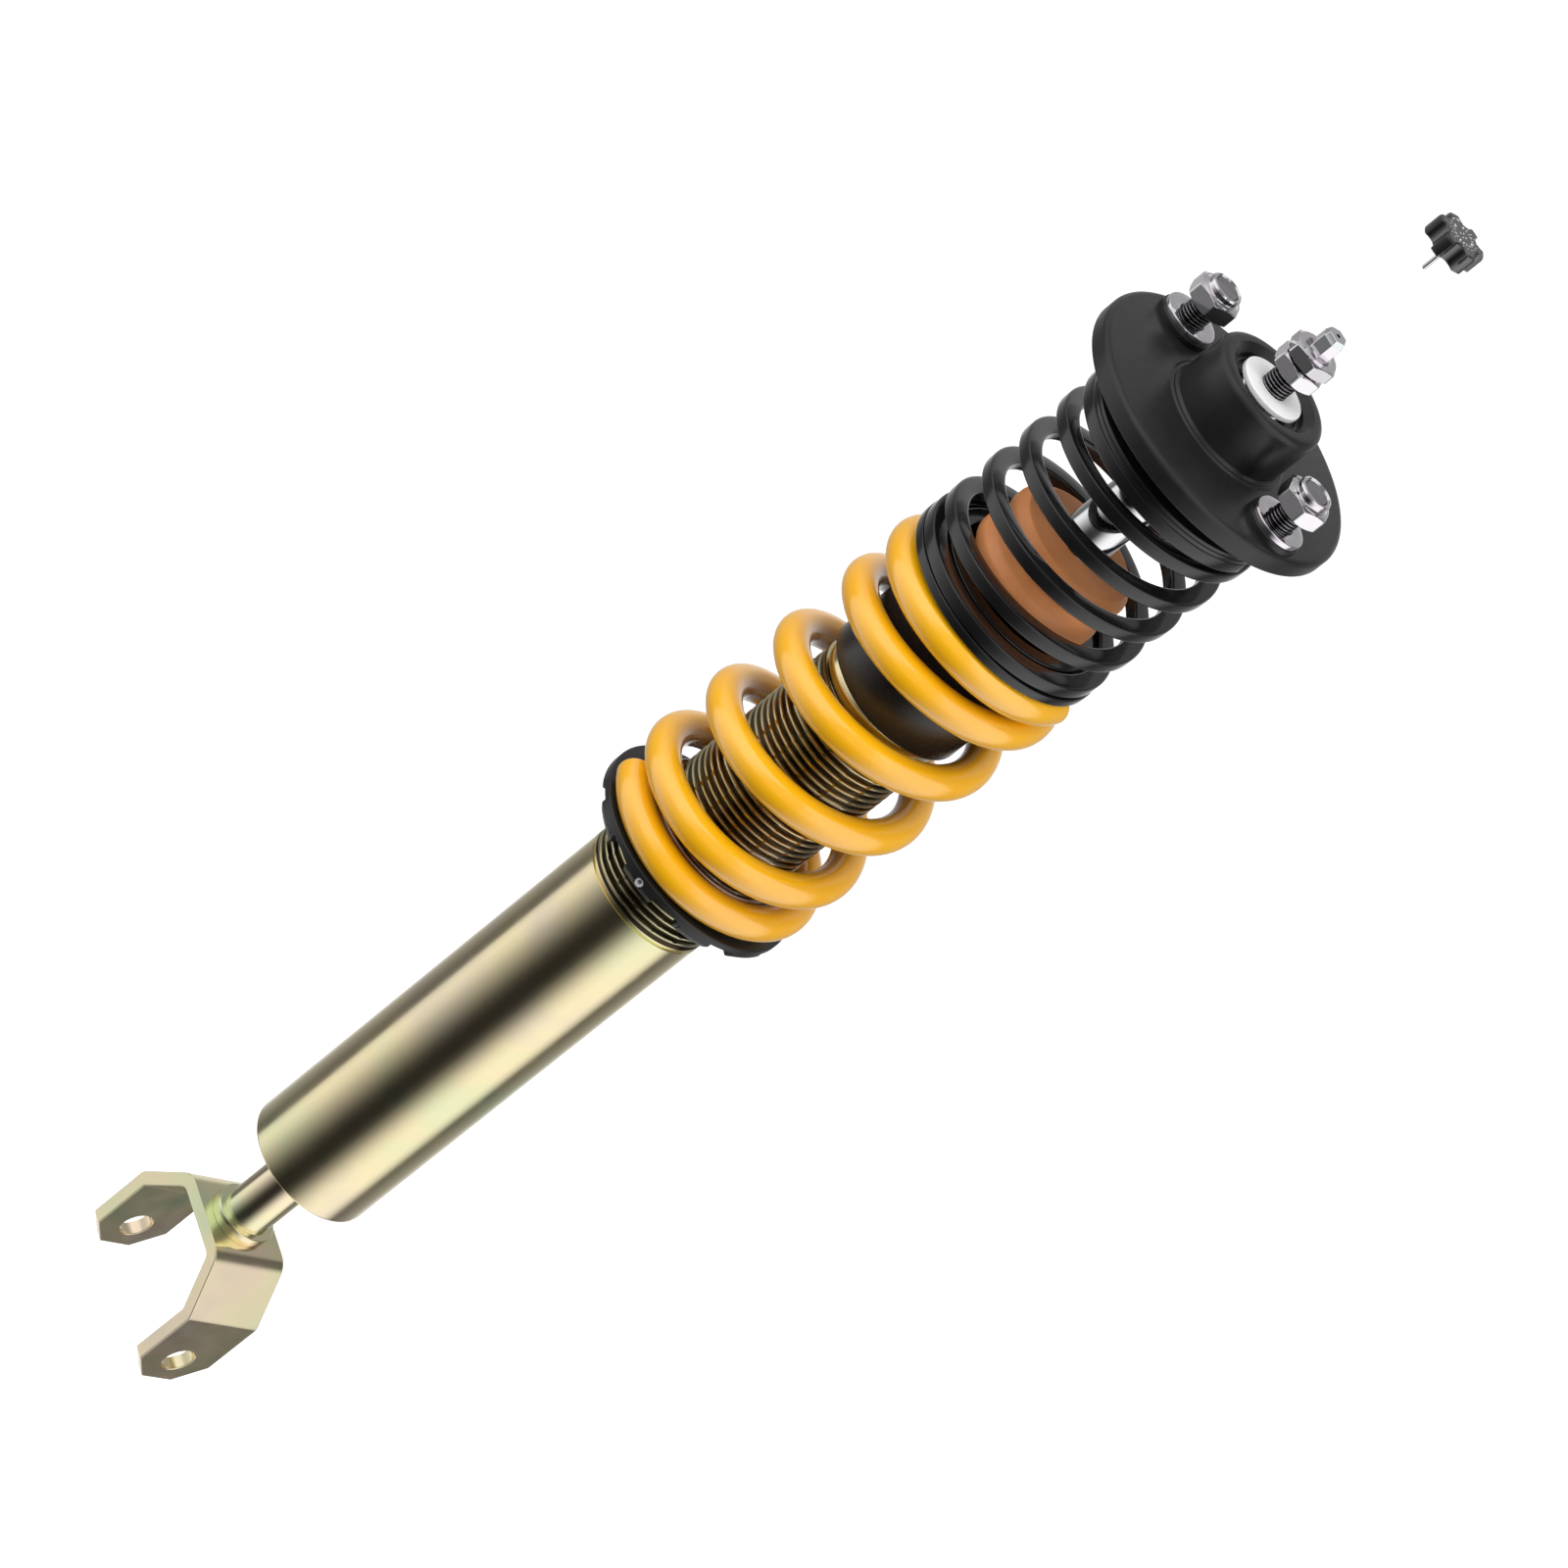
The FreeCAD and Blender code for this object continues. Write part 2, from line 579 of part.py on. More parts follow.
tube = new_body("outer_tube", "tube_seat")
revolve(
    tube,
    "tube_wall",
    [
        ("tube_bore", "0"),
        ("tube_radius", "0"),
        ("tube_radius", "thread_start - relief"),
        ("relief_radius", "thread_start - relief"),
        ("relief_radius", "thread_start"),
        ("tube_radius", "thread_start"),
        ("tube_radius", "thread_end"),
        ("relief_radius", "thread_end"),
        ("relief_radius", "tube_length"),
        ("tube_bore", "tube_length"),
    ],
)
dress_circles(tube, "tube_lower_edge", "Fillet", [("tube_radius", "0")], "tube_round")
thread_groove = revolve(
    tube,
    "thread_groove",
    [
        ("tube_radius", "thread_start + thread_pitch*0.5 - thread_mouth"),
        ("tube_radius - thread_depth", "thread_start + thread_pitch*0.5"),
        ("tube_radius", "thread_start + thread_pitch*0.5 + thread_mouth"),
        ("tube_radius + edge_break", "thread_start + thread_pitch*0.5"),
    ],
    cut=True,
)
thread = tube.newObject("PartDesign::LinearPattern", "thread")
thread.Originals = [thread_groove]
tube_axis = [item for item in tube.Origin.OriginFeatures if item.Role == "Z_Axis"][0]
thread.Direction = (tube_axis, [""])
bind(thread, "Length", "thread_end - thread_start - thread_pitch")
thread.Occurrences = int(round((number("thread_end") - number("thread_start")) / number("thread_pitch")))
tube.Tip = thread
doc.recompute()

cap = new_body("base_cap", "tube_seat")
revolve(
    cap,
    "cap_disc",
    [
        ("stem_spigot", "0"),
        ("tube_bore", "0"),
        ("tube_bore", "cap_height"),
        ("0", "cap_height"),
        ("0", "stem_plug"),
        ("stem_spigot", "stem_plug"),
    ],
)

inner_tube = ring("inner_tube", "inner_seat", "inner_bore", "inner_radius", "inner_length")

valve = new_body("foot_valve", "inner_seat")
revolve(
    valve,
    "valve_disc",
    [
        ("0", "0"),
        ("inner_bore", "0"),
        ("inner_bore", "valve_height"),
        ("valve_hub", "valve_height"),
        ("valve_hub", "valve_height + 2"),
        ("0", "valve_height + 2"),
    ],
)
valve_port_circle = new_sketch(valve, "valve_port_circle", "XY_Plane")
draw_circle(valve_port_circle, "port_radius", "port_circle")
valve_port = pocket(valve, "valve_port", valve_port_circle, upwards=True)
polar(valve, "valve_ports", valve_port, "port_count")

guide = new_body("rod_guide", "guide_seat")
revolve(
    guide,
    "guide_disc",
    [
        ("guide_bore", "- guide_plug"),
        ("inner_bore", "- guide_plug"),
        ("inner_bore", "0"),
        ("tube_bore", "0"),
        ("tube_bore", "guide_height"),
        ("guide_bore", "guide_height"),
    ],
)
seal = ring("rod_seal", "guide_seat + guide_height", "seal_bore", "tube_bore", "seal_height")

gland = new_body("gland_nut", "guide_seat + guide_height + seal_height")
revolve(
    gland,
    "gland_disc",
    [
        ("gland_bore", "0"),
        ("tube_bore", "0"),
        ("tube_bore", "gland_height"),
        ("gland_bore", "gland_height"),
    ],
)
dress_circles(gland, "gland_edge", "Chamfer", [("tube_bore", "gland_height")], "edge_break")
spanner_circle = new_sketch(gland, "spanner_circle", "XY_Plane", "gland_height")
draw_circle(spanner_circle, "spanner_hole", "spanner_circle")
spanner = pocket(gland, "spanner", spanner_circle, "gland_height*0.6")
polar(gland, "spanner_holes", spanner, "port_count")

# ---- perch ------------------------------------------------------------------------------------

collar = new_body("perch_collar", "collar_seat", "collar_turn")
revolve(
    collar,
    "collar_disc",
    [
        ("collar_bore", "0"),
        ("collar_foot", "0"),
        ("collar_radius", "collar_bevel"),
        ("collar_radius", "collar_height"),
        ("collar_recess", "collar_height"),
        ("collar_recess", "collar_ledge"),
        ("collar_bore", "collar_ledge"),
    ],
)
dress_circles(collar, "collar_edge", "Fillet", [("collar_radius", "collar_height")], "edge_break")
slot_outline = new_sketch(collar, "slot_outline", "XY_Plane")
draw_outline(
    slot_outline,
    [
        ("slot_inner*0.951057 + slot_half*0.309017", "slot_inner*0.309017 - slot_half*0.951057"),
        ("collar_radius*1.046162 + slot_half*0.309017", "collar_radius*0.339919 - slot_half*0.951057"),
        ("collar_radius*1.046162 - slot_half*0.309017", "collar_radius*0.339919 + slot_half*0.951057"),
        ("slot_inner*0.951057 - slot_half*0.309017", "slot_inner*0.309017 + slot_half*0.951057"),
    ],
)
slot = pocket(collar, "slot", slot_outline, "collar_ledge", upwards=True)
polar(collar, "slots", slot, "slot_count")
for side, near, far in (("left", "-", "+"), ("right", "+", "-")):
    mark_outline = new_sketch(collar, side + "_mark_outline", "XY_Plane")
    draw_outline(
        mark_outline,
        [
            (
                "%s*0.882948 + mark_half*0.469472" % reach,
                "%s %s*0.469472 %s mark_half*0.882948" % (near, reach, far),
            )
            for reach in ("mark_floor", "collar_radius*1.05")
        ] + [
            (
                "%s*0.882948 - mark_half*0.469472" % reach,
                "%s %s*0.469472 %s mark_half*0.882948" % (near, reach, near),
            )
            for reach in ("collar_radius*1.05", "mark_floor")
        ],
    )
    pocket(collar, side + "_mark", mark_outline, "mark_length", upwards=True)
screw_circle = new_sketch(collar, "screw_circle", "YZ_Plane", "screw_step")
draw_circle(screw_circle, "screw_radius", "0", "screw_height")
pocket(collar, "screw_hole", screw_circle, upwards=True)
point_circle = new_sketch(collar, "point_circle", "YZ_Plane")
draw_circle(point_circle, "screw_point", "0", "screw_height")
pocket(collar, "point_hole", point_circle, upwards=True)

screw = new_body("collar_screw", "collar_seat", "collar_turn")
screw_disc = new_sketch(screw, "screw_disc", "YZ_Plane", "screw_step")
draw_circle(screw_disc, "screw_radius", "0", "screw_height")
pad(screw, "screw_shank", screw_disc, "screw_outer - screw_step")
point_disc = new_sketch(screw, "point_disc", "YZ_Plane", "screw_inner")
draw_circle(point_disc, "screw_point", "0", "screw_height")
pad(screw, "screw_dog_point", point_disc, "screw_step - screw_inner")
socket_outline = new_sketch(screw, "socket_outline", "YZ_Plane", "screw_outer")
socket_corners = [
    (across, up + " + screw_height") for across, up in polygon("socket_corner", 6, 30.0)
]
draw_outline(socket_outline, socket_corners)
pocket(screw, "socket", socket_outline, "socket_depth")

locator = new_body("spring_locator", "locator_seat")
revolve(
    locator,
    "locator_ring",
    [
        ("locator_bore", "0"),
        ("locator_radius", "0"),
        ("locator_radius", "locator_height"),
        ("locator_bore", "locator_height"),
    ],
)
dress_circles(
    locator,
    "locator_edges",
    "Chamfer",
    [("locator_radius", "locator_height"), ("locator_bore", "locator_height")],
    "edge_break",
)

# ---- coupler ----------------------------------------------------------------------------------

sleeve = new_body("guide_sleeve", "sleeve_seat")
revolve(
    sleeve,
    "sleeve_wall",
    [
        ("sleeve_bore", "0"),
        ("sleeve_radius", "0"),
        ("sleeve_radius", "sleeve_neck - 2"),
        ("sleeve_band", "sleeve_neck"),
        ("sleeve_band", "sleeve_length"),
        ("sleeve_bore", "sleeve_length"),
    ],
)
dress_circles(
    sleeve,
    "sleeve_lower_edge",
    "Fillet",
    [("sleeve_radius", "0"), ("sleeve_bore", "0")],
    "edge_break",
)

coupler = new_body("coupler_ring", "coupler_seat")
revolve(
    coupler,
    "coupler_disc",
    [
        ("sleeve_bore", "0"),
        ("coupler_radius", "0"),
        ("coupler_radius", "coupler_flange"),
        ("coupler_spigot", "coupler_flange"),
        ("coupler_spigot", "coupler_height"),
        ("sleeve_bore", "coupler_height"),
    ],
)
dress_circles(
    coupler,
    "coupler_edges",
    "Fillet",
    [("coupler_radius", "0"), ("coupler_radius", "coupler_flange"), ("coupler_spigot", "coupler_height")],
    "edge_break",
)

# ---- springs ----------------------------------------------------------------------------------


def coil_rise(turned, sweep, slopes):
    """Rise after so many degrees; slopes holds (degrees from an end, rise per turn), alike at both ends."""
    if turned > sweep / 2.0:
        return 2.0 * coil_rise(sweep / 2.0, sweep, slopes) - coil_rise(sweep - turned, sweep, slopes)
    rise = 0.0
    for (begin, slow), (end, fast) in zip(slopes, slopes[1:]):
        share = min(max((turned - begin) / (end - begin), 0.0), 1.0)
        eased = share**3 - share**4 / 2.0
        rise += (end - begin) / 360.0 * (slow * share + (fast - slow) * eased)
    last_angle, last_pitch = slopes[-1]
    return rise + last_pitch / 360.0 * max(turned - last_angle, 0.0)


def coil(label, section, mean, seat, top, wire_half, slopes, first_turn, sweep, level=False):
    """Coil spring swept along its wire's centre line; level keeps a flat wire square to the axis."""
    steps = int(sweep / 15.0)
    low = seat + wire_half
    stretch = (top - seat - 2.0 * wire_half) / coil_rise(sweep, sweep, slopes)
    points = []
    for step in range(steps + 1):
        turned = sweep * step / steps
        angle = math.radians(first_turn + turned)
        height = low + stretch * coil_rise(turned, sweep, slopes)
        points.append(FreeCAD.Vector(mean * math.cos(angle), mean * math.sin(angle), height))
    line = Part.BSplineCurve()
    line.interpolate(points)
    upright = FreeCAD.Rotation(FreeCAD.Vector(1, 0, 0), 90)
    outward = FreeCAD.Rotation(FreeCAD.Vector(0, 0, 1), first_turn)
    section.transformShape(FreeCAD.Placement(points[0], outward.multiply(upright)).toMatrix())
    sweeper = Part.BRepOffsetAPI.MakePipeShell(Part.Wire([line.toShape()]))
    if level:
        sweeper.setBiNormalMode(FreeCAD.Vector(0, 0, 1))
    else:
        sweeper.setFrenetMode(True)
    sweeper.add(section)
    sweeper.build()
    if not sweeper.makeSolid():
        raise RuntimeError("%s does not close" % label)
    body = doc.addObject("Part::Feature", label)
    body.Label = label
    body.Shape = sweeper.shape()
    return body


coil(
    "main_spring",
    Part.Wire([Part.Circle(FreeCAD.Vector(), FreeCAD.Vector(0, 0, 1), number("spring_wire")).toShape()]),
    number("spring_mean"),
    number("spring_seat_height"),
    number("spring_top_height"),
    number("spring_wire"),
    [
        (60.0, 0.0),
        (100.0, number("spring_close_pitch")),
        (410.0, number("spring_close_pitch")),
        (460.0, number("spring_pitch")),
    ],
    number("spring_first_turn"),
    number("spring_sweep"),
)
half_width = number("helper_width") / 2.0
half_thick = number("helper_thick") / 2.0
flat_wire = Part.makePlane(
    number("helper_width"),
    number("helper_thick"),
    FreeCAD.Vector(-half_width, -half_thick, 0),
).Wires[0]
coil(
    "helper_spring",
    flat_wire,
    number("helper_outer") - half_width,
    number("helper_seat_height"),
    number("helper_top_height"),
    half_thick,
    [(65.0, 0.0), (411.0, number("helper_pitch"))],
    number("helper_first_turn"),
    number("helper_sweep"),
    level=True,
)

# ---- rod --------------------------------------------------------------------------------------

rod = new_body("piston_rod", "rod_seat")
revolve(
    rod,
    "rod_shaft",
    [
        ("rod_bore", "0"),
        ("rod_stub", "0"),
        ("rod_stub", "rod_shoulder"),
        ("rod_radius", "rod_shoulder"),
        ("rod_radius", "rod_step"),
        ("rod_stub", "rod_step"),
        ("rod_stub", "rod_thread_end"),
        ("rod_key", "rod_thread_end"),
        ("rod_key", "rod_bore_end"),
        ("rod_bore", "rod_bore_end"),
    ],
)
dress_circles(
    rod,
    "rod_edges",
    "Chamfer",
    [("rod_radius", "rod_shoulder"), ("rod_radius", "rod_step"), ("rod_stub", "rod_thread_end")],
    "edge_break",
)
rod_hex = new_sketch(rod, "rod_hex", "XY_Plane", "rod_thread_end")
draw_outline(rod_hex, polygon("rod_hex_corner", 6, -42.0))
draw_circle(rod_hex, "rod_key")
pad(rod, "rod_end_hex", rod_hex, "rod_length - rod_thread_end")
revolve(
    rod,
    "rod_dome",
    [
        ("rod_hex_corner", "rod_hex_end"),
        ("rod_hex_corner*0.84", "rod_length - 0.4"),
        ("rod_key*1.3", "rod_length"),
        ("rod_hex_corner*1.2", "rod_length"),
        ("rod_hex_corner*1.2", "rod_hex_end"),
    ],
    cut=True,
)

piston = new_body("piston", "piston_seat")
revolve(
    piston,
    "piston_disc",
    [
        ("rod_stub", "0"),
        ("piston_radius", "0"),
        ("piston_radius", "band_low"),
        ("band_inner", "band_low"),
        ("band_inner", "band_high"),
        ("piston_radius", "band_high"),
        ("piston_radius", "piston_height"),
        ("rod_stub", "piston_height"),
    ],
)
piston_port_circle = new_sketch(piston, "piston_port_circle", "XY_Plane")
draw_circle(piston_port_circle, "port_radius", "port_circle + 1.5")
piston_port = pocket(piston, "piston_port", piston_port_circle, upwards=True)
polar(piston, "piston_ports", piston_port, "port_count")

band = ring("piston_band", "piston_seat + band_low", "band_inner", "band_radius", "band_high - band_low")

shims = new_body("valve_shims", "piston_seat - shim_height")
revolve(
    shims,
    "shim_stack",
    [
        ("rod_stub", "0"),
        ("shim_radius*0.7", "0"),
        ("shim_radius*0.7", "shim_height*0.33"),
        ("shim_radius*0.85", "shim_height*0.33"),
        ("shim_radius*0.85", "shim_height*0.66"),
        ("shim_radius", "shim_height*0.66"),
        ("shim_radius", "shim_height"),
        ("rod_stub", "shim_height"),
    ],
)
topout = ring("topout_ring", "piston_seat + piston_height", "rod_radius", "topout_radius", "topout_height")

bump = new_body("bump_stop", "bump_seat")
revolve(
    bump,
    "bump_foam",
    [
        ("rod_radius", "0"),
        ("bump_foot", "0"),
        ("bump_lobe - 2.6", "bump_lobe_height - 5"),
        ("bump_lobe", "bump_lobe_height", "arc"),
        ("bump_waist + 0.5", "bump_waist_height - 2.6"),
        ("bump_waist", "bump_waist_height", "arc"),
        ("bump_waist + 0.4", "bump_waist_height + 2"),
        ("bump_crown", "bump_crown_height", "arc"),
        ("bump_top + 1.4", "bump_height - 1.4"),
        ("bump_top", "bump_height"),
        ("rod_radius", "bump_height"),
    ],
)

seat = new_body("spring_seat", "seat_seat")
revolve(
    seat,
    "seat_disc",
    [
        ("rod_stub", "- seat_hub_depth"),
        ("seat_hub", "- seat_hub_depth"),
        ("seat_hub", "0"),
        ("seat_spigot_bore", "0"),
        ("seat_spigot_bore", "- seat_spigot_depth"),
        ("seat_spigot", "- seat_spigot_depth"),
        ("seat_spigot", "0"),
        ("helper_outer", "0"),
        ("helper_outer", "seat_plate"),
        ("rod_stub", "seat_plate"),
    ],
)
dress_circles(
    seat,
    "seat_edges",
    "Fillet",
    [("helper_outer", "0"), ("helper_outer", "seat_plate")],
    "edge_break",
)

lower_spacer = ring("lower_spacer", "spacer_seat", "rod_stub", "spacer_radius", "spacer_height")

ball = new_body("bearing_ball", "bearing_seat")
revolve(
    ball,
    "ball_ring",
    [
        ("rod_stub", "- ball_half"),
        ("ball_face", "- ball_half"),
        ("ball_radius", "0", "arc"),
        ("ball_face", "ball_half"),
        ("rod_stub", "ball_half"),
    ],
)

disc = new_body("top_spacer", "disc_seat")
revolve(
    disc,
    "spacer_disc",
    [
        ("rod_stub", "0"),
        ("disc_foot", "0"),
        ("disc_foot", "disc_foot_height"),
        ("disc_rim", "disc_foot_height"),
        ("disc_rim", "disc_rim_height"),
        ("disc_top", "disc_height"),
        ("rod_stub", "disc_height"),
    ],
)


def hex_nut(label, seat, flats, height, turn, bore, collar_height=None, offset=None):
    """Hex nut, with a round collar on top when collar_height is given."""
    body = new_body(label, seat, turn, offset)
    outline = new_sketch(body, label + "_outline", "XY_Plane")
    draw_outline(outline, polygon(flats + "*0.577350", 6, 0.0))
    pad(body, label + "_hex", outline, height)
    hex_corners(body, label, flats, height)
    if collar_height:
        revolve(
            body,
            label + "_collar",
            [
                ("0", height),
                ("lock_collar + 0.5", height),
                ("lock_collar", height + " + 0.5"),
                ("lock_collar", collar_height + " - 0.7"),
                ("lock_collar - 0.7", collar_height),
                ("0", collar_height),
            ],
        )
    hole = new_sketch(body, label + "_bore", "XY_Plane")
    draw_circle(hole, bore)
    pocket(body, label + "_hole", hole, upwards=True)
    return body


hex_nut(
    "piston_nut", "piston_seat - shim_height - piston_nut_height", "piston_nut_flats",
    "piston_nut_height", "lock_nut_turn", "rod_stub",
)
hex_nut(
    "rod_nut_lower", "rod_nut_low_seat", "rod_nut_flats", "rod_nut_low_height",
    "rod_nut_low_turn", "rod_stub",
)
hex_nut(
    "rod_nut_upper", "rod_nut_high_seat", "rod_nut_flats", "rod_nut_high_height",
    "rod_nut_high_turn", "rod_stub",
)

# ---- top mount --------------------------------------------------------------------------------

flange = new_body("mount_flange", "flange_seat")
revolve(
    flange,
    "flange_disc",
    [
        ("flange_mouth", "0"),
        ("flange_radius", "0"),
        ("flange_radius", "flange_thick"),
        ("hub_foot", "flange_thick"),
        ("hub_radius + 0.5", "flange_thick + 0.5", "arc"),
        ("hub_radius", "flange_thick + hub_foot_height"),
        ("hub_radius", "hub_height"),
        ("hub_lip", "hub_height"),
        ("hub_bore", "hub_height - hub_lip_depth"),
        ("hub_bore", "ledge_height + race_half*2 + circlip_high - circlip_low"),
        ("circlip_groove", "ledge_height + race_half*2 + circlip_high - circlip_low"),
        ("circlip_groove", "ledge_height + race_half*2"),
        ("hub_bore", "ledge_height + race_half*2"),
        ("hub_bore", "ledge_height"),
        ("flange_ledge", "ledge_height"),
        ("flange_ledge", "flange_thick"),
    ],
)
dress_circles(flange, "flange_upper_edge", "Fillet", [("flange_radius", "flange_thick")], "flange_round")
dress_circles(flange, "flange_lower_edge", "Fillet", [("flange_radius", "0")], "flange_round_low")
dress_circles(flange, "hub_upper_edge", "Fillet", [("hub_radius", "hub_height")], "hub_round")
dress_circles(flange, "hub_lip_edge", "Fillet", [("hub_lip", "hub_height")], "edge_break")
pads = new_sketch(flange, "pads", "XY_Plane", "flange_thick")
draw_circle(pads, "pad_radius", "stud_offset")
draw_circle(pads, "pad_radius", "- stud_offset")
pad(flange, "stud_pads", pads, "pad_height")
stud_holes = new_sketch(flange, "stud_holes", "XY_Plane")
draw_circle(stud_holes, "stud_radius", "stud_offset")
draw_circle(stud_holes, "stud_radius", "- stud_offset")
pocket(flange, "stud_hole_cut", stud_holes, upwards=True)

race = new_body("bearing_race", "bearing_seat")
revolve(
    race,
    "race_ring",
    [
        ("race_mouth", "- race_half"),
        ("hub_bore", "- race_half"),
        ("hub_bore", "race_half"),
        ("race_mouth", "race_half"),
        ("race_sphere", "0", "arc"),
    ],
)

clip = new_body("circlip", "bearing_seat")
revolve(
    clip,
    "clip_ring",
    [
        ("circlip_inner", "circlip_low"),
        ("circlip_groove", "circlip_low"),
        ("circlip_groove", "circlip_high"),
        ("circlip_inner", "circlip_high"),
    ],
)
clip_gap = new_sketch(clip, "clip_gap", "XY_Plane")
draw_outline(
    clip_gap,
    [
        ("circlip_inner*0.9", "- circlip_high*0.35"),
        ("circlip_groove*1.1", "- circlip_high*0.35"),
        ("circlip_groove*1.1", "circlip_high*0.35"),
        ("circlip_inner*0.9", "circlip_high*0.35"),
    ],
)
pocket(clip, "clip_gap_cut", clip_gap, upwards=True)


def pair(label, make):
    """One node holding the same fastener at both studs."""
    halves = [make(label + "_left", "- stud_offset"), make(label + "_right", "stud_offset")]
    group = doc.addObject("Part::Compound", label)
    group.Label = label
    group.Links = halves
    doc.recompute()
    return group


def stud(label, offset):
    body = new_body(label, "flange_seat", offset=offset)
    revolve(
        body,
        label + "_shank",
        [
            ("0", "- stud_head_height"),
            ("stud_head", "- stud_head_height"),
            ("stud_head", "0"),
            ("stud_radius", "0"),
            ("stud_radius", "stud_length - edge_break"),
            ("stud_radius - edge_break", "stud_length"),
            ("0", "stud_length"),
        ],
    )
    return body


def washer(label, offset):
    body = new_body(label, "washer_seat", offset=offset)
    revolve(
        body,
        label + "_ring",
        [
            ("stud_radius + 0.35", "0"),
            ("washer_radius", "0"),
            ("washer_radius", "washer_height"),
            ("stud_radius + 0.35", "washer_height"),
        ],
    )
    dress_circles(body, label + "_edge", "Fillet", [("washer_radius", "washer_height")], "edge_break")
    return body


def lock_nut(label, offset):
    return hex_nut(
        label, "lock_nut_seat", "lock_nut_flats", "lock_nut_height", "lock_nut_turn",
        "stud_radius", "lock_collar_height", offset,
    )


pair("mount_studs", stud)
pair("stud_washers", washer)
pair("stud_nuts", lock_nut)

# ---- damping adjuster -------------------------------------------------------------------------

needle = new_body("adjuster_needle", "needle_seat")
revolve(
    needle,
    "needle_shaft",
    [
        ("0", "0"),
        ("needle_radius*0.3", "0"),
        ("needle_radius", "needle_point"),
        ("needle_radius", "needle_length"),
        ("0", "needle_length"),
    ],
)

knob = new_body("knob", "knob_seat", "knob_turn")
knob_disc = new_sketch(knob, "knob_disc", "XY_Plane")
draw_circle(knob_disc, "knob_radius")
draw_circle(knob_disc, "pin_radius")
pad(knob, "knob_blank", knob_disc, "knob_height")
scallop_circle = new_sketch(knob, "scallop_circle", "XY_Plane")
draw_circle(scallop_circle, "knob_scallop", "knob_scallop_centre")
scallop = pocket(knob, "scallop", scallop_circle, upwards=True)
polar(knob, "scallops", scallop, "knob_lobes")
knob_fill = new_sketch(knob, "knob_fill", "XY_Plane", "pin_plug")
draw_circle(knob_fill, "pin_radius")
pad(knob, "knob_cap", knob_fill, "knob_height - pin_plug")
top_rim = [
    "Edge%d" % index
    for index, edge in enumerate(knob.Shape.Edges, start=1)
    if abs(edge.BoundBox.ZMin - number("knob_seat + knob_height")) < 0.01
    and edge.BoundBox.ZLength < 0.01
]
dress(knob, "knob_top_bevel", "Chamfer", top_rim, "knob_bevel")

knob_pin = new_body("knob_pin", "knob_seat")
revolve(
    knob_pin,
    "pin_shaft",
    [
        ("0", "- pin_reach"),
        ("pin_radius - 0.25", "- pin_reach"),
        ("pin_radius", "- pin_reach + 0.25"),
        ("pin_radius", "pin_plug"),
        ("0", "pin_plug"),
    ],
)

# ---- check and export -------------------------------------------------------------------------

NODES = (
    "fork", "stem", "outer_tube", "base_cap", "inner_tube", "foot_valve", "rod_guide", "rod_seal",
    "gland_nut", "perch_collar", "collar_screw", "spring_locator", "main_spring", "coupler_ring",
    "guide_sleeve", "helper_spring", "piston_rod", "piston", "piston_band", "valve_shims",
    "piston_nut", "topout_ring", "bump_stop", "spring_seat", "lower_spacer", "bearing_ball",
    "top_spacer", "rod_nut_lower", "rod_nut_upper", "mount_flange", "bearing_race", "circlip",
    "mount_studs", "stud_washers", "stud_nuts", "adjuster_needle", "knob", "knob_pin",
)

doc.recompute()
for item in doc.Objects:
    if "Invalid" in item.State or "Error" in item.State:
        raise RuntimeError("%s did not build: %s" % (item.Label, item.State))

os.makedirs("parts", exist_ok=True)
for node in NODES:
    shape = doc.getObjectsByLabel(node)[0].Shape
    if shape.isNull() or not shape.isValid() or not shape.Solids:
        raise RuntimeError("%s has no valid solid" % node)
    shape.exportStep("parts/%s.step" % node)
    box = shape.BoundBox
    print("%-16s solids %d  volume %.0f  z %.1f..%.1f" % (
        node, len(shape.Solids), shape.Volume, box.ZMin, box.ZMax))
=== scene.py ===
import math

import bmesh
import bpy
from mathutils import Matrix, Vector


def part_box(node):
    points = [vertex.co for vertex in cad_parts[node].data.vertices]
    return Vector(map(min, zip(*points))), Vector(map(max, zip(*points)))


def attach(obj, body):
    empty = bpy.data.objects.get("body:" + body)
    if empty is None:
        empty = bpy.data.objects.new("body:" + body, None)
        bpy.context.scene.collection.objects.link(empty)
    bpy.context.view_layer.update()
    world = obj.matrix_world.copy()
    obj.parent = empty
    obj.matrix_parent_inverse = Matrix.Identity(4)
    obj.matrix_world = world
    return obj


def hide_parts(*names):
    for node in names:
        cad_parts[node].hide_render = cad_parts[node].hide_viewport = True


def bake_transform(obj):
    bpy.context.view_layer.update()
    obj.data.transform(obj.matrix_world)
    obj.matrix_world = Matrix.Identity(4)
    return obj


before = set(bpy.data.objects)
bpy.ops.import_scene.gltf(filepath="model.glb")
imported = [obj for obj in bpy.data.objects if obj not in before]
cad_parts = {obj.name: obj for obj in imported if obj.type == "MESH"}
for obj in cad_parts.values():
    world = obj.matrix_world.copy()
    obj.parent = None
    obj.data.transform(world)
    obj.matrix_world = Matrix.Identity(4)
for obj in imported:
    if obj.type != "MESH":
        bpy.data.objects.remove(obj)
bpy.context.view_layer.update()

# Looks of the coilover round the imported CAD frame. Metres, Z up the damper, X along the cross bolt.

MM = 0.001
TURN = 2.0 * math.pi
ROUND_STEPS = 180  # facets round a turned piece
SHARP = math.radians(32)  # edges folded more than this are shaded sharp
CREST_SHADE = 0.22  # least painted groove shade on a thread, so its crests are painted a little darker to take the glare off them
BOLT_LAND = 0.22  # share of the pitch left flat at a bolt thread's crest
TUBE_LAND = 0.20  # the same for the perch thread
NUT_FLATS = 16.0 * MM
STUD_REACH = 40.0 * MM  # from the axis to each stud


def low(node):
    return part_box(node)[0]


def high(node):
    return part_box(node)[1]


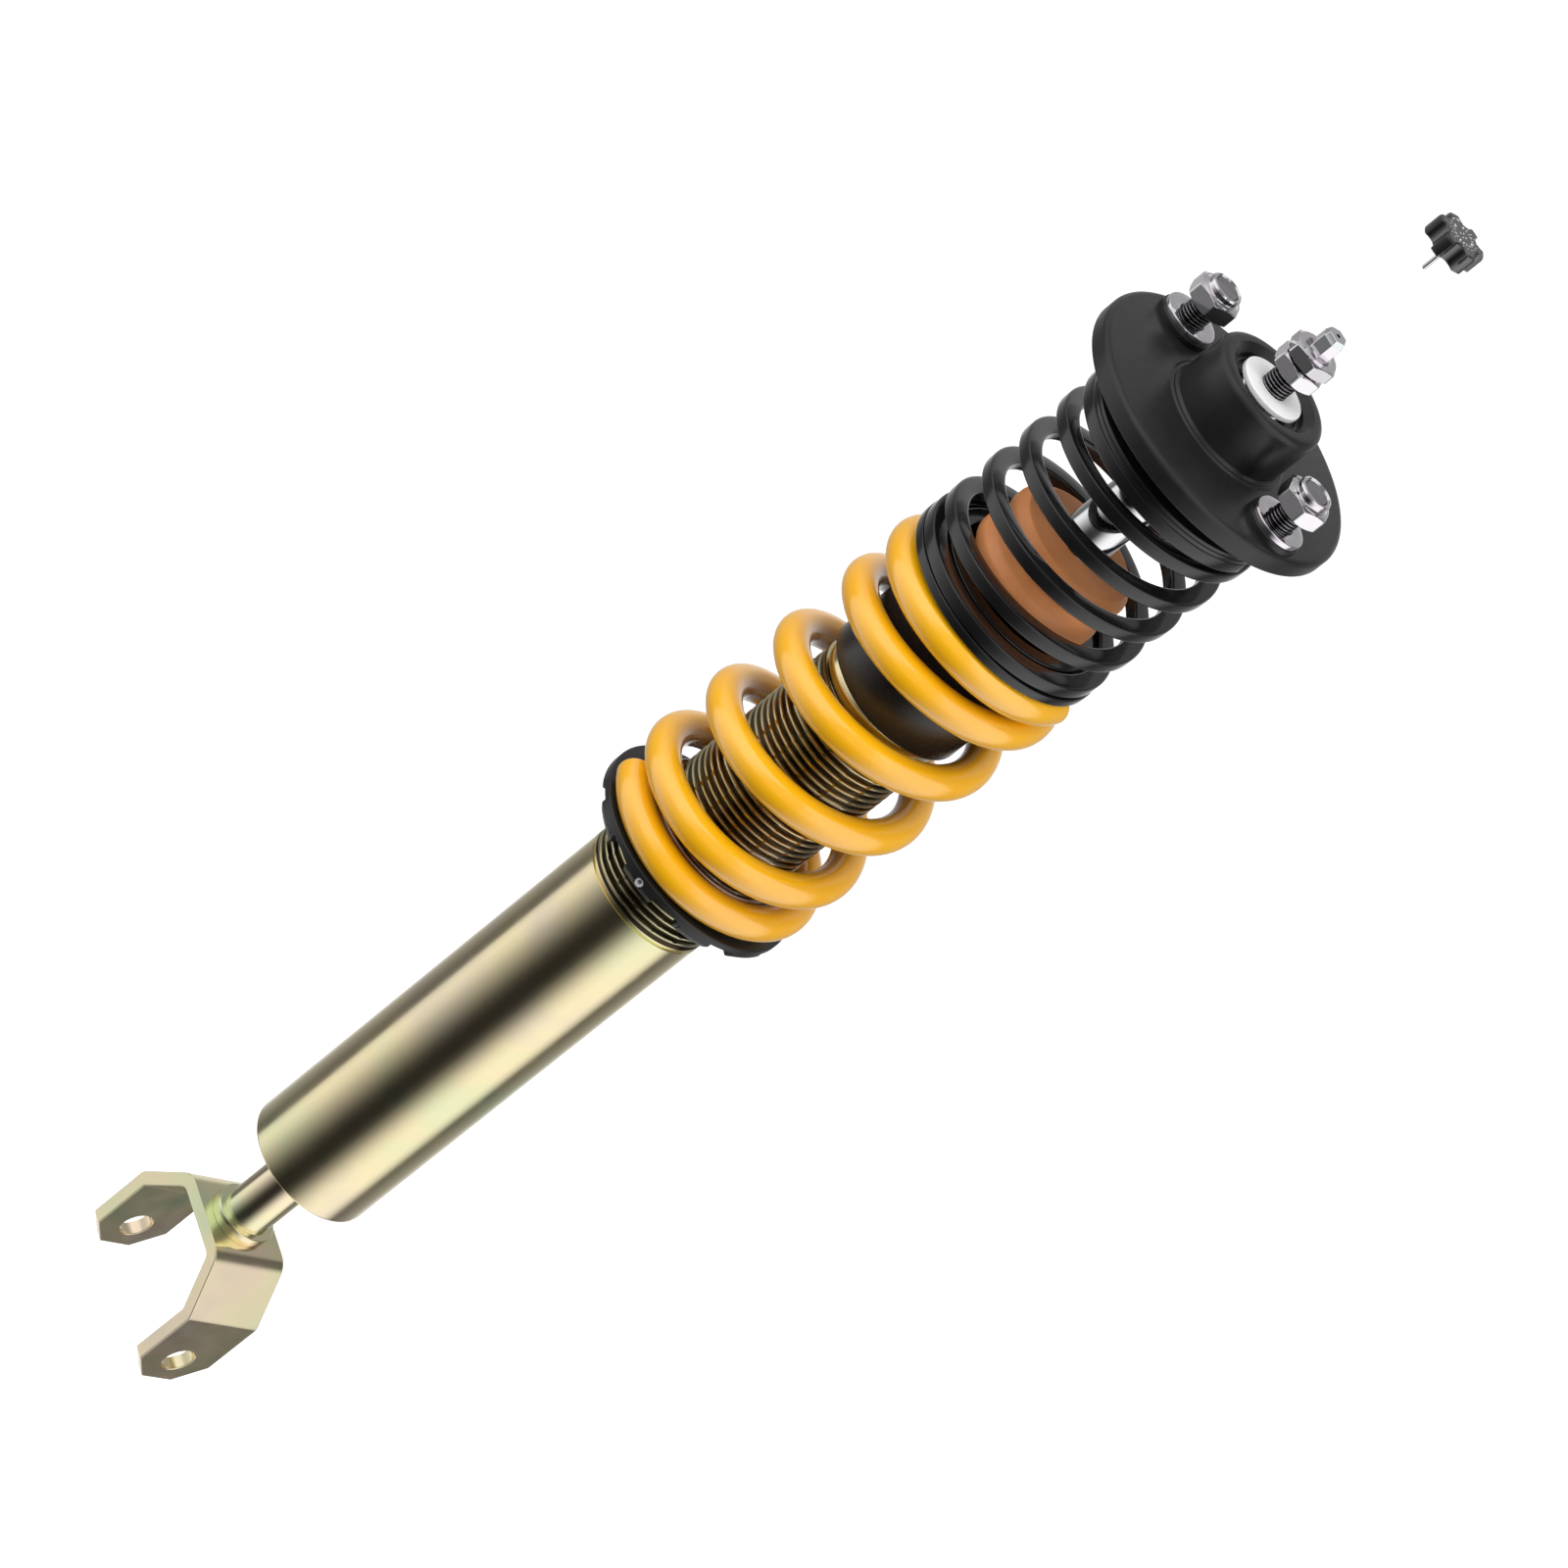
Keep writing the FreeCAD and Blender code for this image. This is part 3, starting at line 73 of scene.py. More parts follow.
def radius_of(node):
    """Largest radius of a node that is round about Z."""
    return high(node).x


# ---- mesh building ----------------------------------------------------------------------------


def shade(mesh, sharp=SHARP):
    """Outward smooth faces, with sharp edges where they fold hard."""
    editor = bmesh.new()
    editor.from_mesh(mesh)
    bmesh.ops.remove_doubles(editor, verts=editor.verts, dist=1e-7)
    bmesh.ops.recalc_face_normals(editor, faces=editor.faces)
    for face in editor.faces:
        face.smooth = True
    for edge in editor.edges:
        if len(edge.link_faces) == 2:
            edge.smooth = edge.calc_face_angle(0.0) < sharp
    editor.to_mesh(mesh)
    editor.free()


def build(name, points, faces, paint, sharp=SHARP, grooves=None):
    """Mesh object; grooves holds how deep each point lies in a thread, 0 to 1, for its painted groove shade.
    """
    mesh = bpy.data.meshes.new(name)
    mesh.from_pydata(points, [], faces)
    mesh.update()
    if grooves:
        mesh.attributes.new("groove", "FLOAT", "POINT").data.foreach_set("value", grooves)
    shade(mesh, sharp)
    mesh.materials.append(paint)
    piece = bpy.data.objects.new(name, mesh)
    bpy.context.scene.collection.objects.link(piece)
    return piece


def fit(piece, body, nodes=()):
    """Put a finished piece on its CAD body, in place of CAD nodes."""
    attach(piece, body)
    if nodes:
        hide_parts(*nodes)
    return piece


def soften(corners, steps=5):
    """Closed outline from (radius, height, rounding) corners, each rounding turned into an arc."""
    outline = []
    count = len(corners)
    for index, (across, up, rounding) in enumerate(corners):
        here = Vector((across, up))
        if rounding <= 0.0:
            outline.append((across, up))
            continue
        before = (Vector(corners[index - 1][:2]) - here).normalized()
        after = (Vector(corners[(index + 1) % count][:2]) - here).normalized()
        half = before.angle(after) / 2.0
        reach = rounding / math.tan(half)
        centre = here + (before + after).normalized() * (rounding / math.sin(half))
        first = here + before * reach - centre
        sweep = math.pi - 2.0 * half
        if first.x * (here - centre).y - first.y * (here - centre).x < 0.0:
            sweep = -sweep
        for step in range(steps + 1):
            angle = sweep * step / steps
            turned = Vector(
                (
                    first.x * math.cos(angle) - first.y * math.sin(angle),
                    first.x * math.sin(angle) + first.y * math.cos(angle),
                )
            )
            outline.append(tuple(centre + turned))
    return outline


def wind(rows, columns, closed=True):
    """Faces of a grid that closes on itself round the axis, and from last row to first when closed."""
    faces = []
    last = rows if closed else rows - 1
    for row in range(last):
        following = (row + 1) % rows
        for column in range(columns):
            beside = (column + 1) % columns
            faces.append(
                (
                    row * columns + column,
                    row * columns + beside,
                    following * columns + beside,
                    following * columns + column,
                )
            )
    return faces


def turn_piece(name, outline, paint, steps=ROUND_STEPS, centre=(0.0, 0.0)):
    """Turned piece from a closed (radius, height) outline; a radius of zero closes on the axis."""
    points = []
    for across, up in outline:
        for step in range(steps):
            angle = TURN * step / steps
            points.append(
                (centre[0] + across * math.cos(angle), centre[1] + across * math.sin(angle), up)
            )
    faces = wind(len(outline), steps)
    return build(name, points, faces, paint)


def shaped_rows(name, rows, paint, shape, steps, centre=(0.0, 0.0), sharp=SHARP, turn=0.0):
    """Piece with an outline of shape(angle, row) round the axis; rows run from the inside bottom up."""
    points = []
    for row in rows:
        for step in range(steps):
            angle = TURN * step / steps
            across = shape(angle, row)
            points.append(
                (
                    centre[0] + across * math.cos(angle + turn),
                    centre[1] + across * math.sin(angle + turn),
                    row[1],
                )
            )
    return build(name, points, wind(len(rows), steps), paint, sharp)


def thread_dip(height, angle, pitch, land):
    """Depth of a right-hand screw thread from 0 at the crest to 1 in the groove."""
    share = (height / pitch - angle / TURN) % 1.0
    off_groove = abs(share - 0.5) * 2.0
    groove = max(0.0, 1.0 - off_groove / (1.0 - land))
    return groove**0.8


def threaded(name, rows, paint, steps, land, closed, centre=(0.0, 0.0)):
    """Turned piece from rows (radius, height, pitch, depth); a screw thread is cut where depth is not 0."""
    points, grooves = [], []
    for radius, height, pitch, depth in rows:
        for step in range(steps):
            angle = TURN * step / steps
            dip = thread_dip(height, angle, pitch, land) if depth > 0.0 else 0.0
            across = radius - depth * dip
            points.append(
                (centre[0] + across * math.cos(angle), centre[1] + across * math.sin(angle), height)
            )
            # groove value for the painted shade in the thread; crests keep at least CREST_SHADE of it
            grooves.append(max(dip, CREST_SHADE) if depth > 0.0 else 0.0)
    faces = wind(len(rows), steps, closed)
    if not closed:
        faces.append(tuple(reversed(range(steps))))
        faces.append(tuple(range((len(rows) - 1) * steps, len(rows) * steps)))
    return build(name, points, faces, paint, math.radians(55), grooves)


def threaded_shaft(name, parts, paint, steps=96, centre=(0.0, 0.0), bore=0.0):
    """Shaft, or tube when it has a bore, of stacked lengths (radius, bottom, top, pitch, depth)."""
    rows = []
    for radius, bottom, top, pitch, depth in parts:
        count = max(1, int(round((top - bottom) / pitch * 12))) if pitch else 1
        for index in range(count + 1):
            height = bottom + (top - bottom) * index / count
            fade = 0.0
            if pitch:
                run_out = pitch * 0.7
                fade = min(1.0, (height - bottom) / run_out, (top - height) / run_out)
            rows.append((radius, height, pitch, depth * fade))
    if bore:
        rows += [(bore, rows[-1][1], 0.0, 0.0), (bore, rows[0][1], 0.0, 0.0)]
    return threaded(name, rows, paint, steps, BOLT_LAND, bore > 0.0, centre)


def coil(name, seat, top, mean, section, half_height, slopes, first_turn, sweep, paint):
    """Coil spring; slopes holds (degrees from an end, rise per turn), alike at both ends."""

    def rise(turned):
        if turned > sweep / 2.0:
            return 2.0 * rise(sweep / 2.0) - rise(sweep - turned)
        total = 0.0
        for (begin, slow), (end, fast) in zip(slopes, slopes[1:]):
            share = min(max((turned - begin) / (end - begin), 0.0), 1.0)
            eased = share**3 - share**4 / 2.0
            total += (end - begin) / 360.0 * (slow * share + (fast - slow) * eased)
        last_angle, last_pitch = slopes[-1]
        return total + last_pitch / 360.0 * max(turned - last_angle, 0.0)

    stretch = (top - seat - 2.0 * half_height) / rise(sweep)
    steps = int(sweep / 2.5)
    columns = len(section)
    inset = 1.6 * MM
    spans = []
    for share in (0.0, 0.3, 0.6, 0.85, 1.0):
        lean = math.sqrt(1.0 - (1.0 - share) ** 2)
        spans.append((math.degrees(share * inset / mean), 1.0 - inset * (1.0 - lean) / half_height))
    ends = [(sweep - turned, scale) for turned, scale in reversed(spans)]
    spans += [(sweep * index / steps, 1.0) for index in range(2, steps - 1)] + ends
    points = []
    for turned, scale in spans:
        angle = math.radians(first_turn + turned)
        height = seat + half_height + stretch * rise(turned)
        slope = stretch * (rise(min(sweep, turned + 1.0)) - rise(max(0.0, turned - 1.0)))
        slope /= math.radians(2.0) * mean
        out = Vector((math.cos(angle), math.sin(angle), 0.0))
        along = Vector((-math.sin(angle), math.cos(angle), slope)).normalized()
        up = out.cross(along)
        centre = out * mean + Vector((0.0, 0.0, height))
        for across, lift in section:
            points.append(tuple(centre + out * (across * scale) + up * (lift * scale)))
    faces = wind(len(spans), columns, closed=False)
    faces.append(tuple(reversed(range(columns))))
    faces.append(tuple(range((len(spans) - 1) * columns, len(spans) * columns)))
    return build(name, points, faces, paint, math.radians(40))


# ---- materials --------------------------------------------------------------------------------


def new_material(name):
    made = bpy.data.materials.new(name)
    made.use_nodes = True
    return made, made.node_tree.nodes, made.node_tree.links


def noise(nodes, links, scale, detail=3.0, stretch=None):
    """Noise in the object's own space, stretched along an axis when asked."""
    place = nodes.new("ShaderNodeTexCoord")
    field = nodes.new("ShaderNodeTexNoise")
    field.inputs["Scale"].default_value = scale
    field.inputs["Detail"].default_value = detail
    if stretch:
        mapping = nodes.new("ShaderNodeMapping")
        mapping.inputs["Scale"].default_value = stretch
        links.new(place.outputs["Object"], mapping.inputs["Vector"])
        links.new(mapping.outputs["Vector"], field.inputs["Vector"])
    else:
        links.new(place.outputs["Object"], field.inputs["Vector"])
    return field.outputs["Fac"]


def ramp(nodes, links, source, stops):
    """Colour ramp over a value."""
    band = nodes.new("ShaderNodeValToRGB")
    band.color_ramp.elements[0].position = stops[0][0]
    band.color_ramp.elements[0].color = (*stops[0][1], 1.0)
    band.color_ramp.elements[1].position = stops[-1][0]
    band.color_ramp.elements[1].color = (*stops[-1][1], 1.0)
    for place, colour in stops[1:-1]:
        element = band.color_ramp.elements.new(place)
        element.color = (*colour, 1.0)
    links.new(source, band.inputs["Fac"])
    return band.outputs["Color"]


def spread(nodes, links, source, lowest, highest):
    """Value from 0..1 noise stretched to a range, for roughness."""
    span = nodes.new("ShaderNodeMapRange")
    span.inputs["From Min"].default_value = 0.3
    span.inputs["From Max"].default_value = 0.7
    span.inputs["To Min"].default_value = lowest
    span.inputs["To Max"].default_value = highest
    links.new(source, span.inputs["Value"])
    return span.outputs["Result"]


def bump(nodes, links, shader, source, distance, strength=0.3):
    relief = nodes.new("ShaderNodeBump")
    relief.inputs["Strength"].default_value = strength
    relief.inputs["Distance"].default_value = distance
    links.new(source, relief.inputs["Height"])
    links.new(relief.outputs["Normal"], shader.inputs["Normal"])


def paint_groove_shade(nodes, links, colour, groove):
    """Painted shade in thread grooves: mix towards the dark groove colour by the depth stored on the mesh."""
    depth = nodes.new("ShaderNodeAttribute")
    depth.attribute_name = "groove"
    share = nodes.new("ShaderNodeMapRange")
    share.interpolation_type = "SMOOTHSTEP"
    share.inputs["From Min"].default_value = 0.0
    share.inputs["From Max"].default_value = 0.55
    links.new(depth.outputs["Fac"], share.inputs["Value"])
    blend = nodes.new("ShaderNodeMix")
    blend.data_type = "RGBA"
    links.new(share.outputs["Result"], blend.inputs["Factor"])
    links.new(colour, blend.inputs[6])
    blend.inputs[7].default_value = (*groove, 1.0)
    return blend.outputs[2]


def finish_material(
    name, stops, metallic, rough, colour_scale=60.0, grain=900.0, grain_depth=0.00002, coat=0.0,
    coat_rough=0.05, grain_stretch=None, specular=0.5, coat_ior=1.5, groove=None,
):
    """Principled material with drifting colour, uneven gloss, a fine grain and painted shade in thread
    grooves.
    """
    made, nodes, links = new_material(name)
    shader = nodes["Principled BSDF"]
    shader.inputs["Metallic"].default_value = metallic
    shader.inputs["Coat Weight"].default_value = coat
    shader.inputs["Coat Roughness"].default_value = coat_rough
    shader.inputs["Coat IOR"].default_value = coat_ior
    shader.inputs["Specular IOR Level"].default_value = specular
    drift = noise(nodes, links, colour_scale, 2.0)
    colour = ramp(nodes, links, drift, stops)
    # groove is the colour of the painted shade in the thread grooves
    if groove:
        colour = paint_groove_shade(nodes, links, colour, groove)
    links.new(colour, shader.inputs["Base Color"])
    gloss = noise(nodes, links, colour_scale * 4.0, 4.0)
    links.new(spread(nodes, links, gloss, rough[0], rough[1]), shader.inputs["Roughness"])
    if grain_depth:
        bump(nodes, links, shader, noise(nodes, links, grain, 2.0, grain_stretch), grain_depth)
    return made


ZINC_GOLD = finish_material(
    "zinc_gold",
    [
        (0.30, (0.80, 0.85, 0.56)),
        (0.44, (0.95, 0.86, 0.56)),
        (0.56, (0.99, 0.82, 0.60)),
        (0.72, (0.84, 0.76, 0.60)),
    ],
    1.0, (0.13, 0.19), colour_scale=28.0, grain=1400.0, grain_depth=0.000004,
    grain_stretch=(1.0, 1.0, 0.15),
)
# Yellow zinc for the perch thread; its groove colour is painted shade in the thread grooves.
ZINC_THREAD = finish_material(
    "zinc_thread",
    [(0.30, (0.82, 0.84, 0.52)), (0.5, (0.96, 0.83, 0.52)), (0.70, (0.88, 0.76, 0.56))],
    1.0, (0.13, 0.19), colour_scale=28.0, grain=1400.0, grain_depth=0.0, groove=(0.06, 0.042, 0.022),
)
GOLD_SPRING = finish_material(
    "gold_spring",
    [(0.3, (0.92, 0.44, 0.002)), (0.7, (0.96, 0.48, 0.003))],
    0.0, (0.40, 0.46), colour_scale=30.0, grain=700.0, grain_depth=0.0, coat=1.0,
    coat_rough=0.03, coat_ior=2.0, specular=0.3,
)
BLACK_ALLOY = finish_material(
    "black_alloy",
    [(0.3, (0.009, 0.009, 0.0095)), (0.7, (0.013, 0.013, 0.0135))],
    0.0, (0.30, 0.38), colour_scale=80.0, grain=2600.0, grain_depth=0.00001, specular=0.6,
)
BLACK_SLEEVE = finish_material(
    "black_sleeve",
    [(0.3, (0.010, 0.009, 0.009)), (0.7, (0.014, 0.012, 0.012))],
    0.0, (0.24, 0.30), colour_scale=60.0, grain=2600.0, grain_depth=0.000006, specular=0.6,
)
BLACK_SPRING = finish_material(
    "black_spring",
    [(0.3, (0.006, 0.006, 0.007)), (0.7, (0.010, 0.010, 0.011))],
    0.0, (0.16, 0.22), colour_scale=60.0, grain=900.0, grain_depth=0.000005, coat=0.5,
)
CHROME = finish_material(
    "rod_chrome",
    [(0.3, (0.86, 0.86, 0.88)), (0.7, (0.92, 0.92, 0.93))],
    1.0, (0.04, 0.07), colour_scale=50.0, grain=0.0, grain_depth=0.0,
)
ZINC_BRIGHT = finish_material(
    "zinc_bright",
    [(0.30, (0.93, 0.85, 0.92)), (0.5, (0.93, 0.90, 0.93)), (0.70, (0.86, 0.91, 0.93))],
    1.0, (0.045, 0.08), colour_scale=120.0, grain=2000.0, grain_depth=0.0,
)
# Steel for the rod and stud threads; its groove colour is painted shade in the thread grooves.
THREAD_STEEL = finish_material(
    "thread_steel",
    [(0.3, (0.36, 0.35, 0.37)), (0.7, (0.46, 0.45, 0.47))],
    1.0, (0.16, 0.24), colour_scale=200.0, grain=2000.0, grain_depth=0.0, groove=(0.03, 0.028, 0.03),
)
DARK_STEEL = finish_material(
    "dark_steel",
    [(0.3, (0.10, 0.10, 0.11)), (0.7, (0.16, 0.16, 0.17))],
    1.0, (0.26, 0.36), colour_scale=200.0, grain=2000.0, grain_depth=0.000002,
)
BRIGHT_ALLOY = finish_material(
    "bright_alloy",
    [(0.3, (0.62, 0.57, 0.66)), (0.7, (0.70, 0.66, 0.74))],
    1.0, (0.18, 0.26), colour_scale=70.0, grain=2000.0, grain_depth=0.000004,
)
BRIGHT_STEEL = finish_material(
    "bright_steel",
    [(0.3, (0.84, 0.84, 0.85)), (0.7, (0.90, 0.90, 0.90))],
    0.15, (0.30, 0.36), colour_scale=160.0, grain=2400.0, grain_depth=0.0,
)
FOAM = finish_material(
    "foam",
    [(0.3, (0.66, 0.25, 0.085)), (0.7, (0.74, 0.29, 0.10))],
    0.0, (0.42, 0.52), colour_scale=90.0, grain=1500.0, grain_depth=0.00004,
)
KNOB_BLACK = finish_material(
    "knob_black",
    [(0.3, (0.006, 0.006, 0.007)), (0.7, (0.010, 0.010, 0.011))],
    0.0, (0.30, 0.36), colour_scale=200.0, grain=3000.0, grain_depth=0.0, coat=1.0, coat_rough=0.12,
    coat_ior=2.0,
)
MARK_WHITE = finish_material(
    "mark_white",
    [(0.3, (0.80, 0.80, 0.80)), (0.7, (0.88, 0.88, 0.88))],
    0.0, (0.45, 0.55), colour_scale=300.0, grain=0.0, grain_depth=0.0,
)
SCREW_STEEL = finish_material(
    "screw_steel",
    [(0.3, (0.84, 0.84, 0.87)), (0.7, (0.90, 0.90, 0.93))],
    0.6, (0.42, 0.52), colour_scale=300.0, grain=0.0, grain_depth=0.0,
)

PAINT_OF_NODE = {
    "base_cap": ZINC_GOLD,
    "inner_tube": CHROME,
    "foot_valve": BRIGHT_STEEL,
    "rod_guide": BRIGHT_STEEL,
    "rod_seal": BLACK_SLEEVE,
    "gland_nut": BRIGHT_STEEL,
    "piston": BRIGHT_STEEL,
    "piston_band": FOAM,
    "valve_shims": BRIGHT_STEEL,
    "piston_nut": ZINC_BRIGHT,
    "topout_ring": BLACK_SLEEVE,
    "lower_spacer": BLACK_ALLOY,
    "bearing_ball": CHROME,
    "bearing_race": DARK_STEEL,
    "circlip": DARK_STEEL,
    "adjuster_needle": BRIGHT_STEEL,
    "knob_pin": ZINC_BRIGHT,
}


def paint_cad():
    """Give each CAD node that stays in view its detailed material."""
    for node, paint in PAINT_OF_NODE.items():
        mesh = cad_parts[node].data
        mesh.materials.clear()
        mesh.materials.append(paint)


# ---- damper -----------------------------------------------------------------------------------


def guard(outline, reach):
    """Extra points near both ends of every long straight, so roundings do not shade across it."""
    guarded = []
    for index, spot in enumerate(outline):
        here, following = Vector(spot), Vector(outline[(index + 1) % len(outline)])
        guarded.append(spot)
        span = following - here
        if span.length > 4.0 * reach:
            step = span.normalized() * reach
            guarded += [tuple(here + step), tuple(following - step)]
    return guarded


def prism(points, faces, outline, place, near, far):
    """Append an outline pulled from near to far; place turns (a, b, reach) into a point."""
    first, count = len(points), len(outline)
    for reach in (near, far):
        points += [place(across, up, reach) for across, up in outline]
    for index in range(count):
        beside = (index + 1) % count
        faces.append((first + index, first + beside, first + count + beside, first + count + index))
    faces.append(tuple(first + index for index in reversed(range(count))))
    faces.append(tuple(first + count + index for index in range(count)))


def make_fork():
    """Fork bent from one strip: two ears with bolt holes and cut corners, rounded bends, a flat web."""
    foot, head = low("fork").z, high("fork").z
    out, half = high("fork").x, high("fork").y
    strip = 5.0 * MM
    shape = [
        (out, foot, 0), (out, 24.4 * MM, 3.0 * MM), (16.5 * MM, head, 8.0 * MM),
        (-16.5 * MM, head, 8.0 * MM), (-out, 24.4 * MM, 3.0 * MM), (-out, foot, 0),
        (strip - out, foot, 0), (strip - out, 22.9 * MM, 1.0 * MM),
        (-13.8 * MM, head - strip, 3.0 * MM), (13.8 * MM, head - strip, 3.0 * MM),
        (out - strip, 22.9 * MM, 1.0 * MM), (out - strip, foot, 0),
    ]
    points, faces = [], []
    outline = guard(soften(shape, steps=10), 0.5 * MM)
    prism(points, faces, outline, lambda a, b, reach: (a, reach, b), -half, half)
    fork = build("fork_strip", points, faces, ZINC_GOLD)
    points, faces = [], []
    tip, shoulder, past = 6.8 * MM, -2.0 * MM, half * 1.3
    for side in (-1.0, 1.0):
        corner = [(tip, foot), (half, shoulder), (past, shoulder), (past, foot * 2.0), (tip, foot * 2.0)]
        leaning = [(side * across, up) for across, up in corner]
        prism(points, faces, leaning, lambda a, b, reach: (reach, a, b), -2.0 * out, 2.0 * out)
    bolt = [(6.0 * MM * math.cos(TURN * n / 72), 6.0 * MM * math.sin(TURN * n / 72)) for n in range(72)]
    prism(points, faces, bolt, lambda a, b, reach: (reach, a, b), -2.0 * out, 2.0 * out)
    carve(fork, points, faces, 0.35 * MM, math.radians(8))
    fit(fork, "damper_body", ["fork"])


def make_stem():
    """Stem with its collar on the fork's web and a peened head below."""
    web, head = high("fork").z, high("stem").z
    foot, tube = low("stem").z, low("outer_tube").z
    outline = soften(
        [
            (0.0, foot, 0),
            (8.6 * MM, foot, 0.5 * MM),
            (8.6 * MM, web - 5.0 * MM, 0),
            (7.0 * MM, web - 5.0 * MM, 0),
            (7.0 * MM, web, 0),
            (12.0 * MM, web, 0.25 * MM),
            (12.0 * MM, web + 4.4 * MM, 0.6 * MM),
            (9.05 * MM, web + 4.4 * MM, 0.4 * MM),
            (9.05 * MM, tube, 0),
            (7.0 * MM, tube, 0),
            (7.0 * MM, head, 0),
            (0.0, head, 0),
        ]
    )
    fit(turn_piece("stem_shaft", outline, ZINC_GOLD), "damper_body", ["stem"])


def make_tube():
    """Outer tube with its rolled lower edge, relief groove, right-hand thread and smooth neck."""
    foot, head = low("outer_tube").z, high("outer_tube").z
    radius, bore = radius_of("outer_tube"), 22.0 * MM
    start, end = foot + 174.0 * MM, foot + 285.0 * MM
    pitch, depth, relief = 3.0 * MM, 1.5 * MM, 24.2 * MM
    round_edge = 1.1 * MM
    rows = []
    for step in range(7):
        angle = math.pi / 2.0 * step / 6.0
        inward = radius - round_edge * (1.0 - math.sin(angle))
        rows.append((inward, foot + round_edge * (1.0 - math.cos(angle)), pitch, 0.0))
    rows += [
        (radius, start - 1.7 * MM, pitch, 0.0),
        (relief, start - 1.4 * MM, pitch, 0.0),
        (relief, start - 0.2 * MM, pitch, 0.0),
        (radius, start, pitch, 0.0),
    ]
    count = int(round((end - start) / pitch * 16))
    for index in range(1, count):
        height = start + (end - start) * index / count
        fade = min(1.0, (height - start) / pitch, (end - height) / pitch)
        rows.append((radius, height, pitch, depth * fade))
    rows += [
        (radius, end, pitch, 0.0),
        (relief, end + 0.4 * MM, pitch, 0.0),
        (relief, head - 0.5 * MM, pitch, 0.0),
        (relief - 0.5 * MM, head, pitch, 0.0),
        (bore, head, pitch, 0.0),
        (bore, foot, pitch, 0.0),
    ]
    tube = threaded("tube", rows, ZINC_THREAD, 168, TUBE_LAND, True)
    fit(tube, "damper_body", ["outer_tube"])


# ---- perch and collar -------------------------------------------------------------------------


def box_between(points, faces, out, side, near, far, half, base, top):
    """Append a box reaching along a radius from near to far, centred on that radius."""
    first = len(points)
    for height in (base, top):
        for reach, lean in ((near, -half), (far, -half), (far, half), (near, half)):
            spot = out * reach + side * lean
            points.append((spot.x, spot.y, height))
    for face in ((0, 3, 2, 1), (4, 5, 6, 7), (0, 1, 5, 4), (1, 2, 6, 5), (2, 3, 7, 6), (3, 0, 4, 7)):
        faces.append(tuple(first + corner for corner in face))


def compass(angle):
    """Outward and sideways directions at an angle round the axis."""
    out = Vector((math.cos(angle), math.sin(angle), 0.0))
    return out, Vector((-out.y, out.x, 0.0))


def radial_rod(points, faces, angle, height, near, far, radius, sides=40):
    """Append a round rod lying along a radius."""
    out, side = compass(angle)
    first = len(points)
    for reach in (near, far):
        for step in range(sides):
            around = TURN * step / sides
            spot = out * reach + side * (radius * math.cos(around))
            points.append((spot.x, spot.y, height + radius * math.sin(around)))
    for step in range(sides):
        beside = (step + 1) % sides
        faces.append((first + step, first + beside, first + sides + beside, first + sides + step))
    faces.append(tuple(first + step for step in reversed(range(sides))))
    faces.append(tuple(first + sides + step for step in range(sides)))


def carve(piece, points, faces, rounding, sharp):
    """Cut a tool's shape out of a piece and round the edges left behind."""
    tool = build(piece.name + "_tool", points, faces, piece.data.materials[0])
    cutter = piece.modifiers.new("cut", "BOOLEAN")
    cutter.operation = "DIFFERENCE"
    cutter.solver = "EXACT"
    cutter.object = tool
    rounder = piece.modifiers.new("round", "BEVEL")
    rounder.width = rounding
    rounder.segments = 3
    rounder.limit_method = "ANGLE"
    rounder.angle_limit = math.radians(50)
    bpy.context.view_layer.update()
    finished = piece.evaluated_get(bpy.context.evaluated_depsgraph_get())
    mesh = bpy.data.meshes.new_from_object(finished)
    piece.modifiers.clear()
    piece.data = mesh
    shade(mesh, sharp)
    bpy.data.objects.remove(tool)


COLLAR_TAB = math.radians(-62.0)
SCREW_LIFT = 2.8 * MM


def make_collar():
    """Collar with a bevelled lower rim, ten spanner slots, two index lines and a set screw."""
    foot, head = low("perch_collar").z, high("perch_collar").z
    radius, bore, recess = radius_of("perch_collar"), 25.35 * MM, 28.56 * MM
    ledge = foot + 4.0 * MM
    outline = soften(
        [
            (bore, foot, 0),
            (radius - 1.9 * MM, foot, 0.3 * MM),
            (radius, foot + 2.5 * MM, 0.8 * MM),
            (radius, head, 0.6 * MM),
            (recess, head, 0),
            (recess, ledge, 0),
            (bore, ledge, 0),
        ]
    )
    collar = turn_piece("collar", outline, BLACK_ALLOY, steps=240)
    points, faces = [], []
    for slot in range(10):
        out, side = compass(COLLAR_TAB + TURN * (slot + 0.5) / 10.0)
        box_between(points, faces, out, side, 33.0 * MM, 44.0 * MM, 5.35 * MM, foot - 1.0 * MM, ledge)
    for lean in (-28.0, 28.0):
        out, side = compass(COLLAR_TAB + math.radians(lean))
        box_between(
            points, faces, out, side, 38.1 * MM, 44.0 * MM, 0.18 * MM, foot - 1.0 * MM, foot + 3.2 * MM
        )
    radial_rod(points, faces, COLLAR_TAB, foot + SCREW_LIFT, 36.0 * MM, 44.0 * MM, 2.05 * MM)
    carve(collar, points, faces, 0.12 * MM, math.radians(12))
    fit(collar, "collar", ["perch_collar"])
    make_set_screw(foot + SCREW_LIFT)


